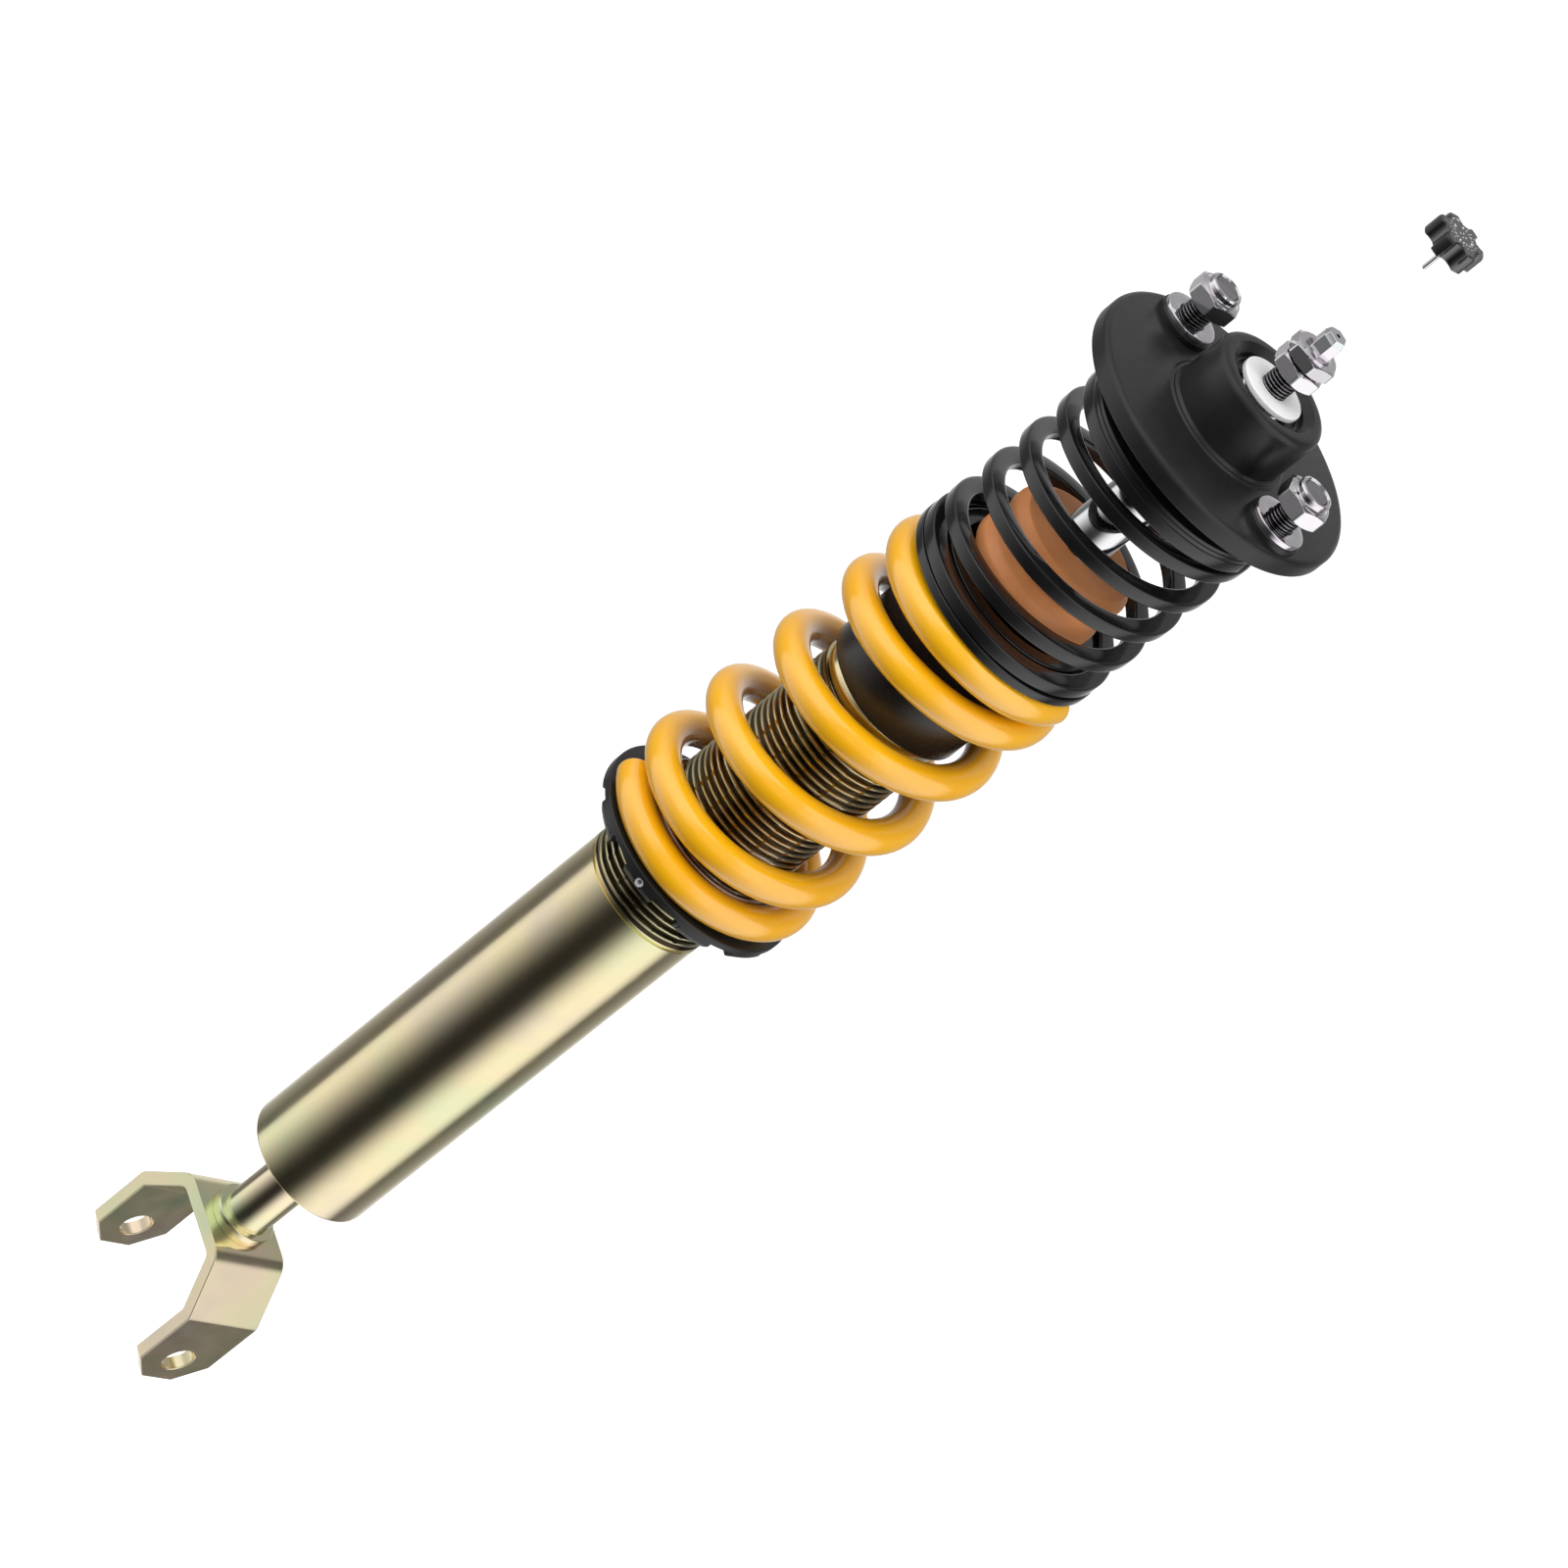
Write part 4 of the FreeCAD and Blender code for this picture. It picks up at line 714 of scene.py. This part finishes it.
def make_set_screw(height):
    """Cup-ended set screw flush with the collar, its hex socket facing out."""
    out, side = compass(COLLAR_TAB)
    end, radius, socket = 39.5 * MM, 1.98 * MM, 0.95 * MM
    rows = [
        (end - 2.5 * MM, 0.0), (end - 2.5 * MM, socket), (end - 0.35 * MM, socket),
        (end - 0.1 * MM, socket + 0.1 * MM), (end, socket + 0.35 * MM), (end, radius - 0.45 * MM),
        (end - 0.12 * MM, radius - 0.15 * MM), (end - 0.4 * MM, radius), (end - 3.2 * MM, radius),
        (end - 3.2 * MM, 0.0),
    ]
    steps = 72
    points = []
    for reach, across in rows:
        for step in range(steps):
            around = TURN * step / steps
            beside = (around + math.pi / 6.0) % (TURN / 6.0) - math.pi / 6.0
            hexed = across * math.cos(math.pi / 6.0) / math.cos(math.pi / 6.0 - abs(beside))
            wide = hexed if across == socket else across
            spot = out * reach + side * (wide * math.cos(around))
            points.append((spot.x, spot.y, height + wide * math.sin(around)))
    screw = build("set_screw", points, wind(len(rows), steps), SCREW_STEEL, math.radians(50))
    fit(screw, "collar", ["collar_screw"])


def make_locator():
    """Bright ring that centres the main spring on the perch."""
    foot, head = low("spring_locator").z, high("spring_locator").z
    radius = radius_of("spring_locator")
    bore = 25.4 * MM
    outline = soften(
        [(bore, foot, 0), (radius, foot, 0), (radius, head, 0.8 * MM), (bore, head, 0.5 * MM)]
    )
    fit(turn_piece("locator", outline, BRIGHT_ALLOY), "perch", ["spring_locator"])


def make_main_spring():
    """Round-wire spring whose end coils lie close and whose middle coils stand open."""
    wire = 6.1 * MM
    section = [
        (wire * math.cos(TURN * step / 28), wire * math.sin(TURN * step / 28)) for step in range(28)
    ]
    foot, head = high("perch_collar").z, low("coupler_ring").z
    close, open_pitch = 17.5 * MM, 32.03 * MM
    slopes = [(60.0, 0.0), (100.0, close), (410.0, close), (460.0, open_pitch)]
    spring = coil(
        "main_coil", foot, head, 35.3 * MM, section, wire, slopes, -125.0, 1950.0, GOLD_SPRING
    )
    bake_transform(spring)
    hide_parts("main_spring")


# ---- coupler ----------------------------------------------------------------------------------


COUPLER_BORE = 25.9 * MM


def make_coupler():
    """Ring between the two springs, with a spigot inside the helper spring."""
    foot = low("coupler_ring").z
    radius, bore = radius_of("coupler_ring"), COUPLER_BORE
    spigot, flange, head = 31.5 * MM, foot + 3.2 * MM, high("coupler_ring").z
    outline = soften(
        [
            (bore, foot, 0),
            (radius, foot, 0.4 * MM),
            (radius, flange, 0.5 * MM),
            (spigot, flange, 0.3 * MM),
            (spigot, head, 0.8 * MM),
            (bore, head, 0.8 * MM),
        ]
    )
    fit(turn_piece("coupler", outline, BLACK_SPRING), "coupler", ["coupler_ring"])


def make_sleeve():
    """Sleeve below the coupler that guides it on the tube, with a wider band at its upper end."""
    foot, head = low("guide_sleeve").z, high("guide_sleeve").z
    bore = COUPLER_BORE
    radius, band = 27.25 * MM, radius_of("guide_sleeve")
    neck = foot + 44.0 * MM
    outline = soften(
        [
            (bore, foot, 0.4 * MM),
            (radius, foot, 0.8 * MM),
            (radius, neck - 2.0 * MM, 0),
            (band, neck, 0),
            (band, head, 0),
            (bore, head, 0),
        ]
    )
    fit(turn_piece("sleeve", outline, BLACK_SLEEVE), "coupler", ["guide_sleeve"])


def make_helper_spring():
    """Flat-wire spring between the coupler and the upper seat."""
    out, thick = 3.25 * MM, 2.5 * MM
    rounding = 0.9 * MM
    section = soften(
        [(-out, -thick, rounding), (out, -thick, rounding), (out, thick, rounding), (-out, thick, rounding)],
        steps=4,
    )
    foot = low("coupler_ring").z + 3.2 * MM
    head = low("spring_seat").z + 6.0 * MM
    spring = coil(
        "helper_coil", foot, head, 39.1 * MM - out, section, thick, [(65.0, 0.0), (411.0, 16.7 * MM)],
        157.0, 2023.0, BLACK_SPRING,
    )
    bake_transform(spring)
    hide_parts("helper_spring")


# ---- rod --------------------------------------------------------------------------------------


KEY_HOLE = 0.82 * MM  # radius of the hole the knob's pin enters


def make_rod():
    """Chrome rod, M10 thread above the seat, hex end with a flat top and a key hole."""
    foot = low("piston_rod").z
    shoulder, step_up = foot + 26.0 * MM, foot + 217.0 * MM
    thread_end = foot + 278.7 * MM
    rod = threaded_shaft(
        "rod",
        [
            (5.0 * MM, foot, shoulder, 0.0, 0.0),
            (8.6 * MM, shoulder, shoulder + 0.01 * MM, 0.0, 0.0),
            (9.0 * MM, shoulder + 0.4 * MM, step_up - 0.4 * MM, 0.0, 0.0),
            (8.6 * MM, step_up - 0.01 * MM, step_up, 0.0, 0.0),
        ],
        CHROME,
        steps=128,
    )
    fit(rod, "rod", ["piston_rod"])
    stub = threaded_shaft(
        "rod_thread",
        [
            (4.6 * MM, step_up, step_up + 0.01 * MM, 0.0, 0.0),
            (5.0 * MM, high("top_spacer").z - 1.0 * MM, thread_end - 0.5 * MM, 1.25 * MM, 0.7 * MM),
            (4.5 * MM, thread_end, thread_end + 0.01 * MM, 0.0, 0.0),
        ],
        THREAD_STEEL,
        steps=72,
        bore=KEY_HOLE,
    )
    fit(stub, "rod")
    make_rod_end(thread_end)


def make_rod_end(foot):
    """Hex end of the rod: six flats, a bevelled flat top and a key hole."""
    head = high("piston_rod").z
    corner = 4.4 * MM
    flat = corner * math.cos(math.pi / 6.0)
    bevel = foot + 6.7 * MM
    rows = [
        ("hole", foot, 0.0),
        ("hex", foot, 1.0),
        ("hex", bevel - 0.1 * MM, 1.0),
        ("hex", bevel + 0.1 * MM, 0.97),
        ("hex", head - 0.15 * MM, 0.84),
        ("hex", head, 0.80),
        ("hole", head, 0.0),
        ("hole", head - 3.0 * MM, 0.0),
    ]
    steps = 288

    def across(angle, row):
        beside = (angle + math.pi / 6.0) % (TURN / 6.0) - math.pi / 6.0
        hexed = min(flat / math.cos(abs(beside) - math.pi / 6.0), corner * 0.985)
        if row[0] == "hole":
            return KEY_HOLE
        return hexed * row[2]

    tip = shaped_rows(
        "rod_end", rows, ZINC_BRIGHT, across, steps, turn=math.radians(-42.0), sharp=math.radians(20)
    )
    fit(tip, "rod")


def make_bump_stop():
    """Foam stop on the rod, waisted in the middle."""
    foot = low("bump_stop").z
    bore = 9.0 * MM
    corners = [
        (bore, 0.0, 0),
        (17.5, 0.0, 1.0),
        (23.0, 4.2, 3.0),
        (25.4, 7.6, 3.0),
        (25.4, 11.2, 3.0),
        (23.4, 14.6, 2.5),
        (22.9, 18.8, 2.5),
        (24.8, 21.4, 2.0),
        (24.8, 25.0, 2.0),
        (22.0, 28.5, 1.2),
    ]
    outline = [(bore, foot)]
    outline += soften(
        [(across * MM, foot + up * MM, rounding * MM) for across, up, rounding in corners[1:]]
        + [(bore, foot + 28.5 * MM, 0), (bore, foot, 0)]
    )[:-1]
    fit(turn_piece("bump_foam", outline, FOAM), "rod", ["bump_stop"])


def make_seat():
    """Upper spring seat in two stacked rings, with its spigot inside the helper spring."""
    foot = low("spring_seat").z + 6.0 * MM
    head = high("spring_seat").z
    radius = radius_of("spring_seat")
    middle = foot + 1.7 * MM
    outline = soften(
        [
            (5.0 * MM, foot - 2.7 * MM, 0),
            (14.0 * MM, foot - 2.7 * MM, 0.5 * MM),
            (14.0 * MM, foot, 0.5 * MM),
            (29.0 * MM, foot, 0.5 * MM),
            (29.0 * MM, foot - 6.0 * MM, 0.5 * MM),
            (32.1 * MM, foot - 6.0 * MM, 0.5 * MM),
            (32.1 * MM, foot, 0.2 * MM),
            (radius, foot, 0.3 * MM),
            (radius, middle - 0.15 * MM, 0.2 * MM),
            (radius - 0.6 * MM, middle, 0),
            (radius, middle + 0.15 * MM, 0.2 * MM),
            (radius, head, 0.5 * MM),
            (5.0 * MM, head, 0),
        ],
        steps=3,
    )
    fit(turn_piece("upper_seat", outline, BLACK_SPRING), "rod", ["spring_seat"])


def hex_piece(name, foot, height, flats, bore, turn, paint, centre=(0.0, 0.0), collar=None):
    """Hex nut with corners turned down at 30 degrees, softened edges and an optional round collar."""
    half = flats / 2.0
    corner = half / math.cos(math.pi / 6.0)
    lip = half * 0.97
    chamfer = (corner - lip) * math.tan(math.radians(30))
    soft = 0.25 * MM
    rows = [("bore", foot + 0.6 * MM), ("lip", foot)]
    for step in range(13):
        rows.append(("cone", foot + chamfer * step / 12.0, lip + (corner - lip) * step / 12.0))
    for step in range(13):
        share = 1.0 - step / 12.0
        rows.append(("cone", foot + height - chamfer * share, lip + (corner - lip) * share))
    if collar:
        ring, top, mouth, dish = collar
        rows += [
            ("ring", foot + height, ring + 0.9 * MM),
            ("ring", foot + height + 0.5 * MM, ring),
            ("ring", top - 0.9 * MM, ring),
            ("ring", top - 0.25 * MM, ring - 0.35 * MM),
            ("ring", top, ring - 0.9 * MM),
            ("ring", top, mouth + 0.2 * MM),
            ("ring", top - 0.3 * MM, mouth),
            ("ring", top - dish, mouth),
            ("ring", top - dish, bore),
        ]
    else:
        rows += [("lip", foot + height), ("bore", foot + height - 0.6 * MM)]
    steps = 288

    def across(angle, row):
        if row[0] == "bore":
            return bore
        if row[0] == "lip":
            return bore + 0.6 * MM
        if row[0] == "ring":
            return row[2]
        beside = (angle + math.pi / 6.0) % (TURN / 6.0) - math.pi / 6.0
        hexed = half / math.cos(math.pi / 6.0 - abs(beside))
        rounded_corner = corner - soft * 0.6
        return min(hexed, rounded_corner, row[2])

    return shaped_rows(
        name, rows, paint, across, steps, centre, sharp=math.radians(20), turn=turn
    )


def make_rod_nuts():
    for node, turn in (("rod_nut_lower", -42.0), ("rod_nut_upper", -37.0)):
        foot, head = low(node).z, high(node).z
        nut = hex_piece(
            node + "_piece", foot, head - foot, NUT_FLATS, 4.9 * MM, math.radians(turn), ZINC_BRIGHT
        )
        fit(nut, "rod", [node])


def make_top_disc():
    foot, head = low("top_spacer").z, high("top_spacer").z
    outline = soften(
        [
            (5.0 * MM, foot, 0),
            (9.2 * MM, foot, 0),
            (9.2 * MM, foot + 1.1 * MM, 0),
            (12.1 * MM, foot + 1.1 * MM, 0.2 * MM),
            (12.1 * MM, head, 0.3 * MM),
            (5.0 * MM, head, 0),
        ]
    )
    fit(turn_piece("top_disc", outline, BRIGHT_STEEL), "rod", ["top_spacer"])


# ---- top mount --------------------------------------------------------------------------------


def make_flange():
    """Round mount flange with a raised hub, rounded rims and a bearing bore."""
    foot, head = low("mount_flange").z, high("mount_flange").z
    radius = radius_of("mount_flange")
    top = foot + 7.2 * MM
    hub, bore = 22.3 * MM, 14.8 * MM
    outline = soften(
        [
            (15.5 * MM, foot, 0.5 * MM),
            (radius, foot, 1.0 * MM),
            (radius, top, 2.2 * MM),
            (24.6 * MM, top, 0.8 * MM),
            (24.0 * MM, top + 0.8 * MM, 0.6 * MM),
            (23.0 * MM, top + 0.5 * MM, 0.4 * MM),
            (hub, top + 1.6 * MM, 0.8 * MM),
            (hub, head, 2.6 * MM),
            (17.6 * MM, head, 0.4 * MM),
            (bore, head - 2.2 * MM, 0.4 * MM),
            (bore, foot + 24.5 * MM, 0),
            (15.8 * MM, foot + 24.5 * MM, 0),
            (15.8 * MM, foot + 23.3 * MM, 0),
            (bore, foot + 23.3 * MM, 0),
            (bore, foot + 11.3 * MM, 0),
            (12.9 * MM, foot + 11.3 * MM, 0),
            (12.9 * MM, top, 0),
        ],
        steps=8,
    )
    flange = turn_piece("flange", outline, BLACK_ALLOY, steps=240)
    fit(flange, "top_mount", ["mount_flange"])


def make_studs():
    """Two studs with threads, washers standing on black pads, and lock nuts near the stud ends."""
    flange_top = low("mount_flange").z + 7.2 * MM
    stud_foot, stud_head = low("mount_studs").z, high("mount_studs").z
    washer_foot, washer_head = low("stud_washers").z, high("stud_washers").z
    nut_foot, nut_head = low("stud_nuts").z, high("stud_nuts").z
    for side, name in ((-1.0, "left"), (1.0, "right")):
        centre = (side * STUD_REACH, 0.0)
        pad = turn_piece(
            "pad_" + name,
            soften(
                [
                    (5.0 * MM, flange_top - 0.5 * MM, 0),
                    (10.5 * MM, flange_top - 0.5 * MM, 0),
                    (10.5 * MM, washer_foot, 0.4 * MM),
                    (5.0 * MM, washer_foot, 0),
                ]
            ),
            BLACK_ALLOY,
            steps=96,
            centre=centre,
        )
        fit(pad, "top_mount")
        stud = threaded_shaft(
            "stud_" + name,
            [
                (7.0 * MM, stud_foot, stud_foot + 2.0 * MM, 0.0, 0.0),
                (4.9 * MM, stud_foot + 2.01 * MM, washer_foot, 0.0, 0.0),
                (4.9 * MM, washer_foot, stud_head - 0.6 * MM, 1.25 * MM, 0.7 * MM),
                (4.4 * MM, stud_head - 0.01 * MM, stud_head, 0.0, 0.0),
            ],
            THREAD_STEEL,
            steps=72,
            centre=centre,
        )
        washer = turn_piece(
            "washer_" + name,
            soften(
                [
                    (5.25 * MM, washer_foot, 0),
                    (10.0 * MM, washer_foot, 0.25 * MM),
                    (10.0 * MM, washer_head, 0.5 * MM),
                    (5.25 * MM, washer_head, 0.3 * MM),
                ]
            ),
            ZINC_BRIGHT,
            steps=96,
            centre=centre,
        )
        nut = hex_piece(
            "lock_nut_" + name, nut_foot, 6.4 * MM, NUT_FLATS, 4.8 * MM, math.radians(-42.0),
            ZINC_BRIGHT, centre, collar=(6.3 * MM, nut_head, 5.2 * MM, 0.6 * MM),
        )
        for piece, node in ((stud, "mount_studs"), (washer, "stud_washers"), (nut, "stud_nuts")):
            fit(piece, "top_mount", [node] if side < 0 else ())


# ---- knob -------------------------------------------------------------------------------------


def make_knob():
    """Lobed knob with a bevelled top, a small plug at its centre and plain white setting marks."""
    foot, head = low("knob").z, high("knob").z - 0.02 * MM
    lobe, centre, scallop = 9.6 * MM, 10.68 * MM, 3.68 * MM
    turn = math.radians(-37.0)
    pitch = TURN / 6.0

    def side(angle):
        beside = (angle + pitch / 2.0) % pitch - pitch / 2.0
        inside = scallop**2 - (centre * math.sin(beside)) ** 2
        if inside <= 0.0:
            return lobe
        return min(lobe, centre * math.cos(beside) - math.sqrt(inside))

    rows = [(0.0, foot, 0.0)]
    rows += [(1.0, foot, 0.5 * MM), (1.0, foot + 0.4 * MM, 0.0)]
    rows += [(1.0, head - 1.2 * MM, 0.0), (1.0, head - 0.35 * MM, 0.35 * MM), (1.0, head, 1.1 * MM)]
    rows += [(0.0, head, 0.0)]

    def across(angle, row):
        return 0.75 * MM if row[0] == 0.0 else side(angle) - row[2]

    knob = shaped_rows("knob_body", rows, KNOB_BLACK, across, 288, sharp=math.radians(24), turn=turn)
    fit(knob, "knob", ["knob"])
    cap = turn_piece(
        "knob_plug",
        [(0.0, head - 0.5 * MM), (0.8 * MM, head - 0.5 * MM), (0.8 * MM, head), (0.0, head)],
        KNOB_BLACK,
        steps=32,
    )
    fit(cap, "knob")
    make_knob_marks(head)


def bar(points, faces, centre_angle, inner, outer, half, base, top):
    """Append a small box standing along a radius."""
    out, side = compass(centre_angle)
    box_between(points, faces, out, side, inner, outer, half, base, top)


def make_knob_marks(top):
    """Ring of plain ticks, small blocks standing for figures, a minus and a plus."""
    points, faces = [], []
    base, face = top - 0.05 * MM, top + 0.01 * MM
    for index in range(16):
        angle = math.radians(-150.0 + index * 20.0)
        bar(points, faces, angle, 5.3 * MM, 5.9 * MM, 0.09 * MM, base, face)
        wide = 0.26 if index % 5 == 0 else 0.10
        bar(points, faces, angle, 3.5 * MM, 4.5 * MM, wide * MM, base, face)
        if index % 3 == 0:
            bar(points, faces, angle + 0.09, 3.5 * MM, 3.75 * MM, 0.25 * MM, base, face)
    for angle in (-170.0, 170.0):
        bar(points, faces, math.radians(angle), 6.4 * MM, 6.65 * MM, 0.7 * MM, base, face)
    bar(points, faces, math.radians(170.0), 5.85 * MM, 7.2 * MM, 0.12 * MM, base, face)
    for quarter in range(4):
        bar(points, faces, math.radians(-37.0 + 90.0 * quarter), 0.9 * MM, 1.5 * MM, 0.2 * MM, base, face)
    marks = build("knob_marks", points, faces, MARK_WHITE)
    fit(marks, "knob")


# ---- studio -----------------------------------------------------------------------------------

CAMERA_AZIMUTH = 33.6
CAMERA_ELEVATION = 29.3
CAMERA_ROLL = 51.23
CAMERA_DISTANCE = 2.2297
CAMERA_LENS = 157.2
CAMERA_SHIFT = (0.0005, -0.0013)
CAMERA_AIM_HEIGHT = 0.322


def make_camera():
    """Camera on the long lens, rolled so that the part lies across the picture."""
    azimuth, elevation = math.radians(CAMERA_AZIMUTH), math.radians(CAMERA_ELEVATION)
    back = Vector(
        (
            math.sin(azimuth) * math.cos(elevation),
            -math.cos(azimuth) * math.cos(elevation),
            math.sin(elevation),
        )
    )
    camera = bpy.data.objects.new("camera", bpy.data.cameras.new("camera"))
    camera.data.lens = CAMERA_LENS
    camera.data.sensor_width = 36.0
    camera.data.shift_x, camera.data.shift_y = CAMERA_SHIFT
    camera.data.clip_end = 100.0
    upright = (-back).to_track_quat("-Z", "Y").to_matrix().to_4x4()
    roll = Matrix.Rotation(math.radians(CAMERA_ROLL), 4, "Z")
    aim = Vector((0.0, 0.0, CAMERA_AIM_HEIGHT))
    camera.matrix_world = Matrix.Translation(aim + back * CAMERA_DISTANCE) @ upright @ roll
    bpy.context.scene.collection.objects.link(camera)
    bpy.context.scene.camera = camera


# Brightness by direction round the part in degrees, level with it and then high above it.
SOFTBOXES = (
    (-180.0, 0.20), (-171.0, 0.14), (-158.0, 0.16), (-152.0, 0.80), (-140.0, 0.90),
    (-124.0, 0.72), (-112.0, 0.50), (-100.0, 0.32), (-88.0, 0.16), (-76.0, 0.06),
    (-64.0, 0.025), (-50.0, 0.025), (-40.0, 0.06), (-28.0, 0.26), (-16.0, 0.60),
    (-4.0, 0.90), (10.0, 1.05), (34.0, 1.05), (44.0, 0.75), (54.0, 0.12),
    (70.0, 0.22), (92.0, 0.36), (104.0, 0.62), (118.0, 0.92), (130.0, 0.90),
    (141.0, 0.64), (154.0, 0.37), (180.0, 0.20),
)


CEILING = (
    (-180.0, 0.55), (-150.0, 0.95), (-100.0, 0.90), (-76.0, 0.22), (-40.0, 0.20), (-16.0, 0.90),
    (44.0, 0.95), (54.0, 0.14), (80.0, 0.12), (96.0, 0.34), (152.0, 0.34), (180.0, 0.55),
)


def ring_of_light(nodes, links, share, levels):
    """Brightness ramp once round the part."""
    return ramp(nodes, links, share, [((azimuth + 180.0) / 360.0, (level,) * 3) for azimuth, level in levels])


def make_world():
    """Soft studio surround: two wide soft panels left and right of the camera, a paler back, a soft top."""
    world = bpy.data.worlds.new("studio")
    bpy.context.scene.world = world
    world.use_nodes = True
    nodes, links = world.node_tree.nodes, world.node_tree.links
    background = nodes["Background"]
    place = nodes.new("ShaderNodeTexCoord")
    split = nodes.new("ShaderNodeSeparateXYZ")
    links.new(place.outputs["Generated"], split.inputs["Vector"])
    around = nodes.new("ShaderNodeMath")
    around.operation = "ARCTAN2"
    links.new(split.outputs["Y"], around.inputs[0])
    links.new(split.outputs["X"], around.inputs[1])
    share = nodes.new("ShaderNodeMapRange")
    share.inputs["From Min"].default_value = -math.pi
    share.inputs["From Max"].default_value = math.pi
    links.new(around.outputs["Value"], share.inputs["Value"])
    panels = ring_of_light(nodes, links, share.outputs["Result"], SOFTBOXES)
    rise = nodes.new("ShaderNodeMapRange")
    rise.interpolation_type = "SMOOTHSTEP"
    rise.inputs["From Min"].default_value = 0.0
    rise.inputs["From Max"].default_value = 0.45
    links.new(split.outputs["Z"], rise.inputs["Value"])
    ceiling = ring_of_light(nodes, links, share.outputs["Result"], CEILING)
    blend = nodes.new("ShaderNodeMix")
    blend.data_type = "RGBA"
    links.new(rise.outputs["Result"], blend.inputs["Factor"])
    links.new(panels, blend.inputs[6])
    links.new(ceiling, blend.inputs[7])
    links.new(blend.outputs[2], background.inputs["Color"])
    background.inputs["Strength"].default_value = 1.0


# Name, direction round the part, height in degrees and watts.
LAMPS = (("key", -120.0, 30.0, 16.0), ("fill", 10.0, 25.0, 11.2), ("top", -56.0, 75.0, 9.4))


def make_lamps():
    """Large soft lamps that lift the painted surfaces and stay out of the reflections."""
    aim = Vector((0.0, 0.0, CAMERA_AIM_HEIGHT))
    for name, azimuth, elevation, power in LAMPS:
        out, _ = compass(math.radians(azimuth))
        lift = math.radians(elevation)
        direction = out * math.cos(lift) + Vector((0.0, 0.0, math.sin(lift)))
        lamp = bpy.data.lights.new(name, "AREA")
        lamp.shape = "DISK"
        lamp.size = 1.4
        lamp.energy = power
        holder = bpy.data.objects.new(name, lamp)
        holder.location = aim + direction * 1.6
        holder.rotation_euler = direction.to_track_quat("Z", "Y").to_euler()
        holder.visible_glossy = False
        bpy.context.scene.collection.objects.link(holder)


def make_floor():
    """Plain pale floor well below the hanging part, out of its reflections."""
    paint, nodes, _ = new_material("floor_paint")
    shader = nodes["Principled BSDF"]
    shader.inputs["Base Color"].default_value = (0.86, 0.86, 0.86, 1.0)
    shader.inputs["Roughness"].default_value = 0.9
    shader.inputs["Specular IOR Level"].default_value = 0.0
    shader.inputs["Emission Color"].default_value = (1.0, 1.0, 1.0, 1.0)
    shader.inputs["Emission Strength"].default_value = 0.55
    size, height = 30.0, low("fork").z - 0.55
    mesh = bpy.data.meshes.new("floor")
    mesh.from_pydata(
        [(-size, -size, height), (size, -size, height), (size, size, height), (-size, size, height)],
        [],
        [(0, 1, 2, 3)],
    )
    mesh.materials.append(paint)
    floor = bpy.data.objects.new("floor", mesh)
    floor.visible_glossy = False
    floor.visible_diffuse = False
    bpy.context.scene.collection.objects.link(floor)


paint_cad()
make_fork()
make_stem()
make_tube()
make_collar()
make_locator()
make_main_spring()
make_coupler()
make_sleeve()
make_helper_spring()
make_rod()
make_bump_stop()
make_seat()
make_rod_nuts()
make_top_disc()
make_flange()
make_studs()
make_knob()
make_camera()
make_world()
make_lamps()
make_floor()

bpy.context.scene.view_settings.view_transform = "Standard"
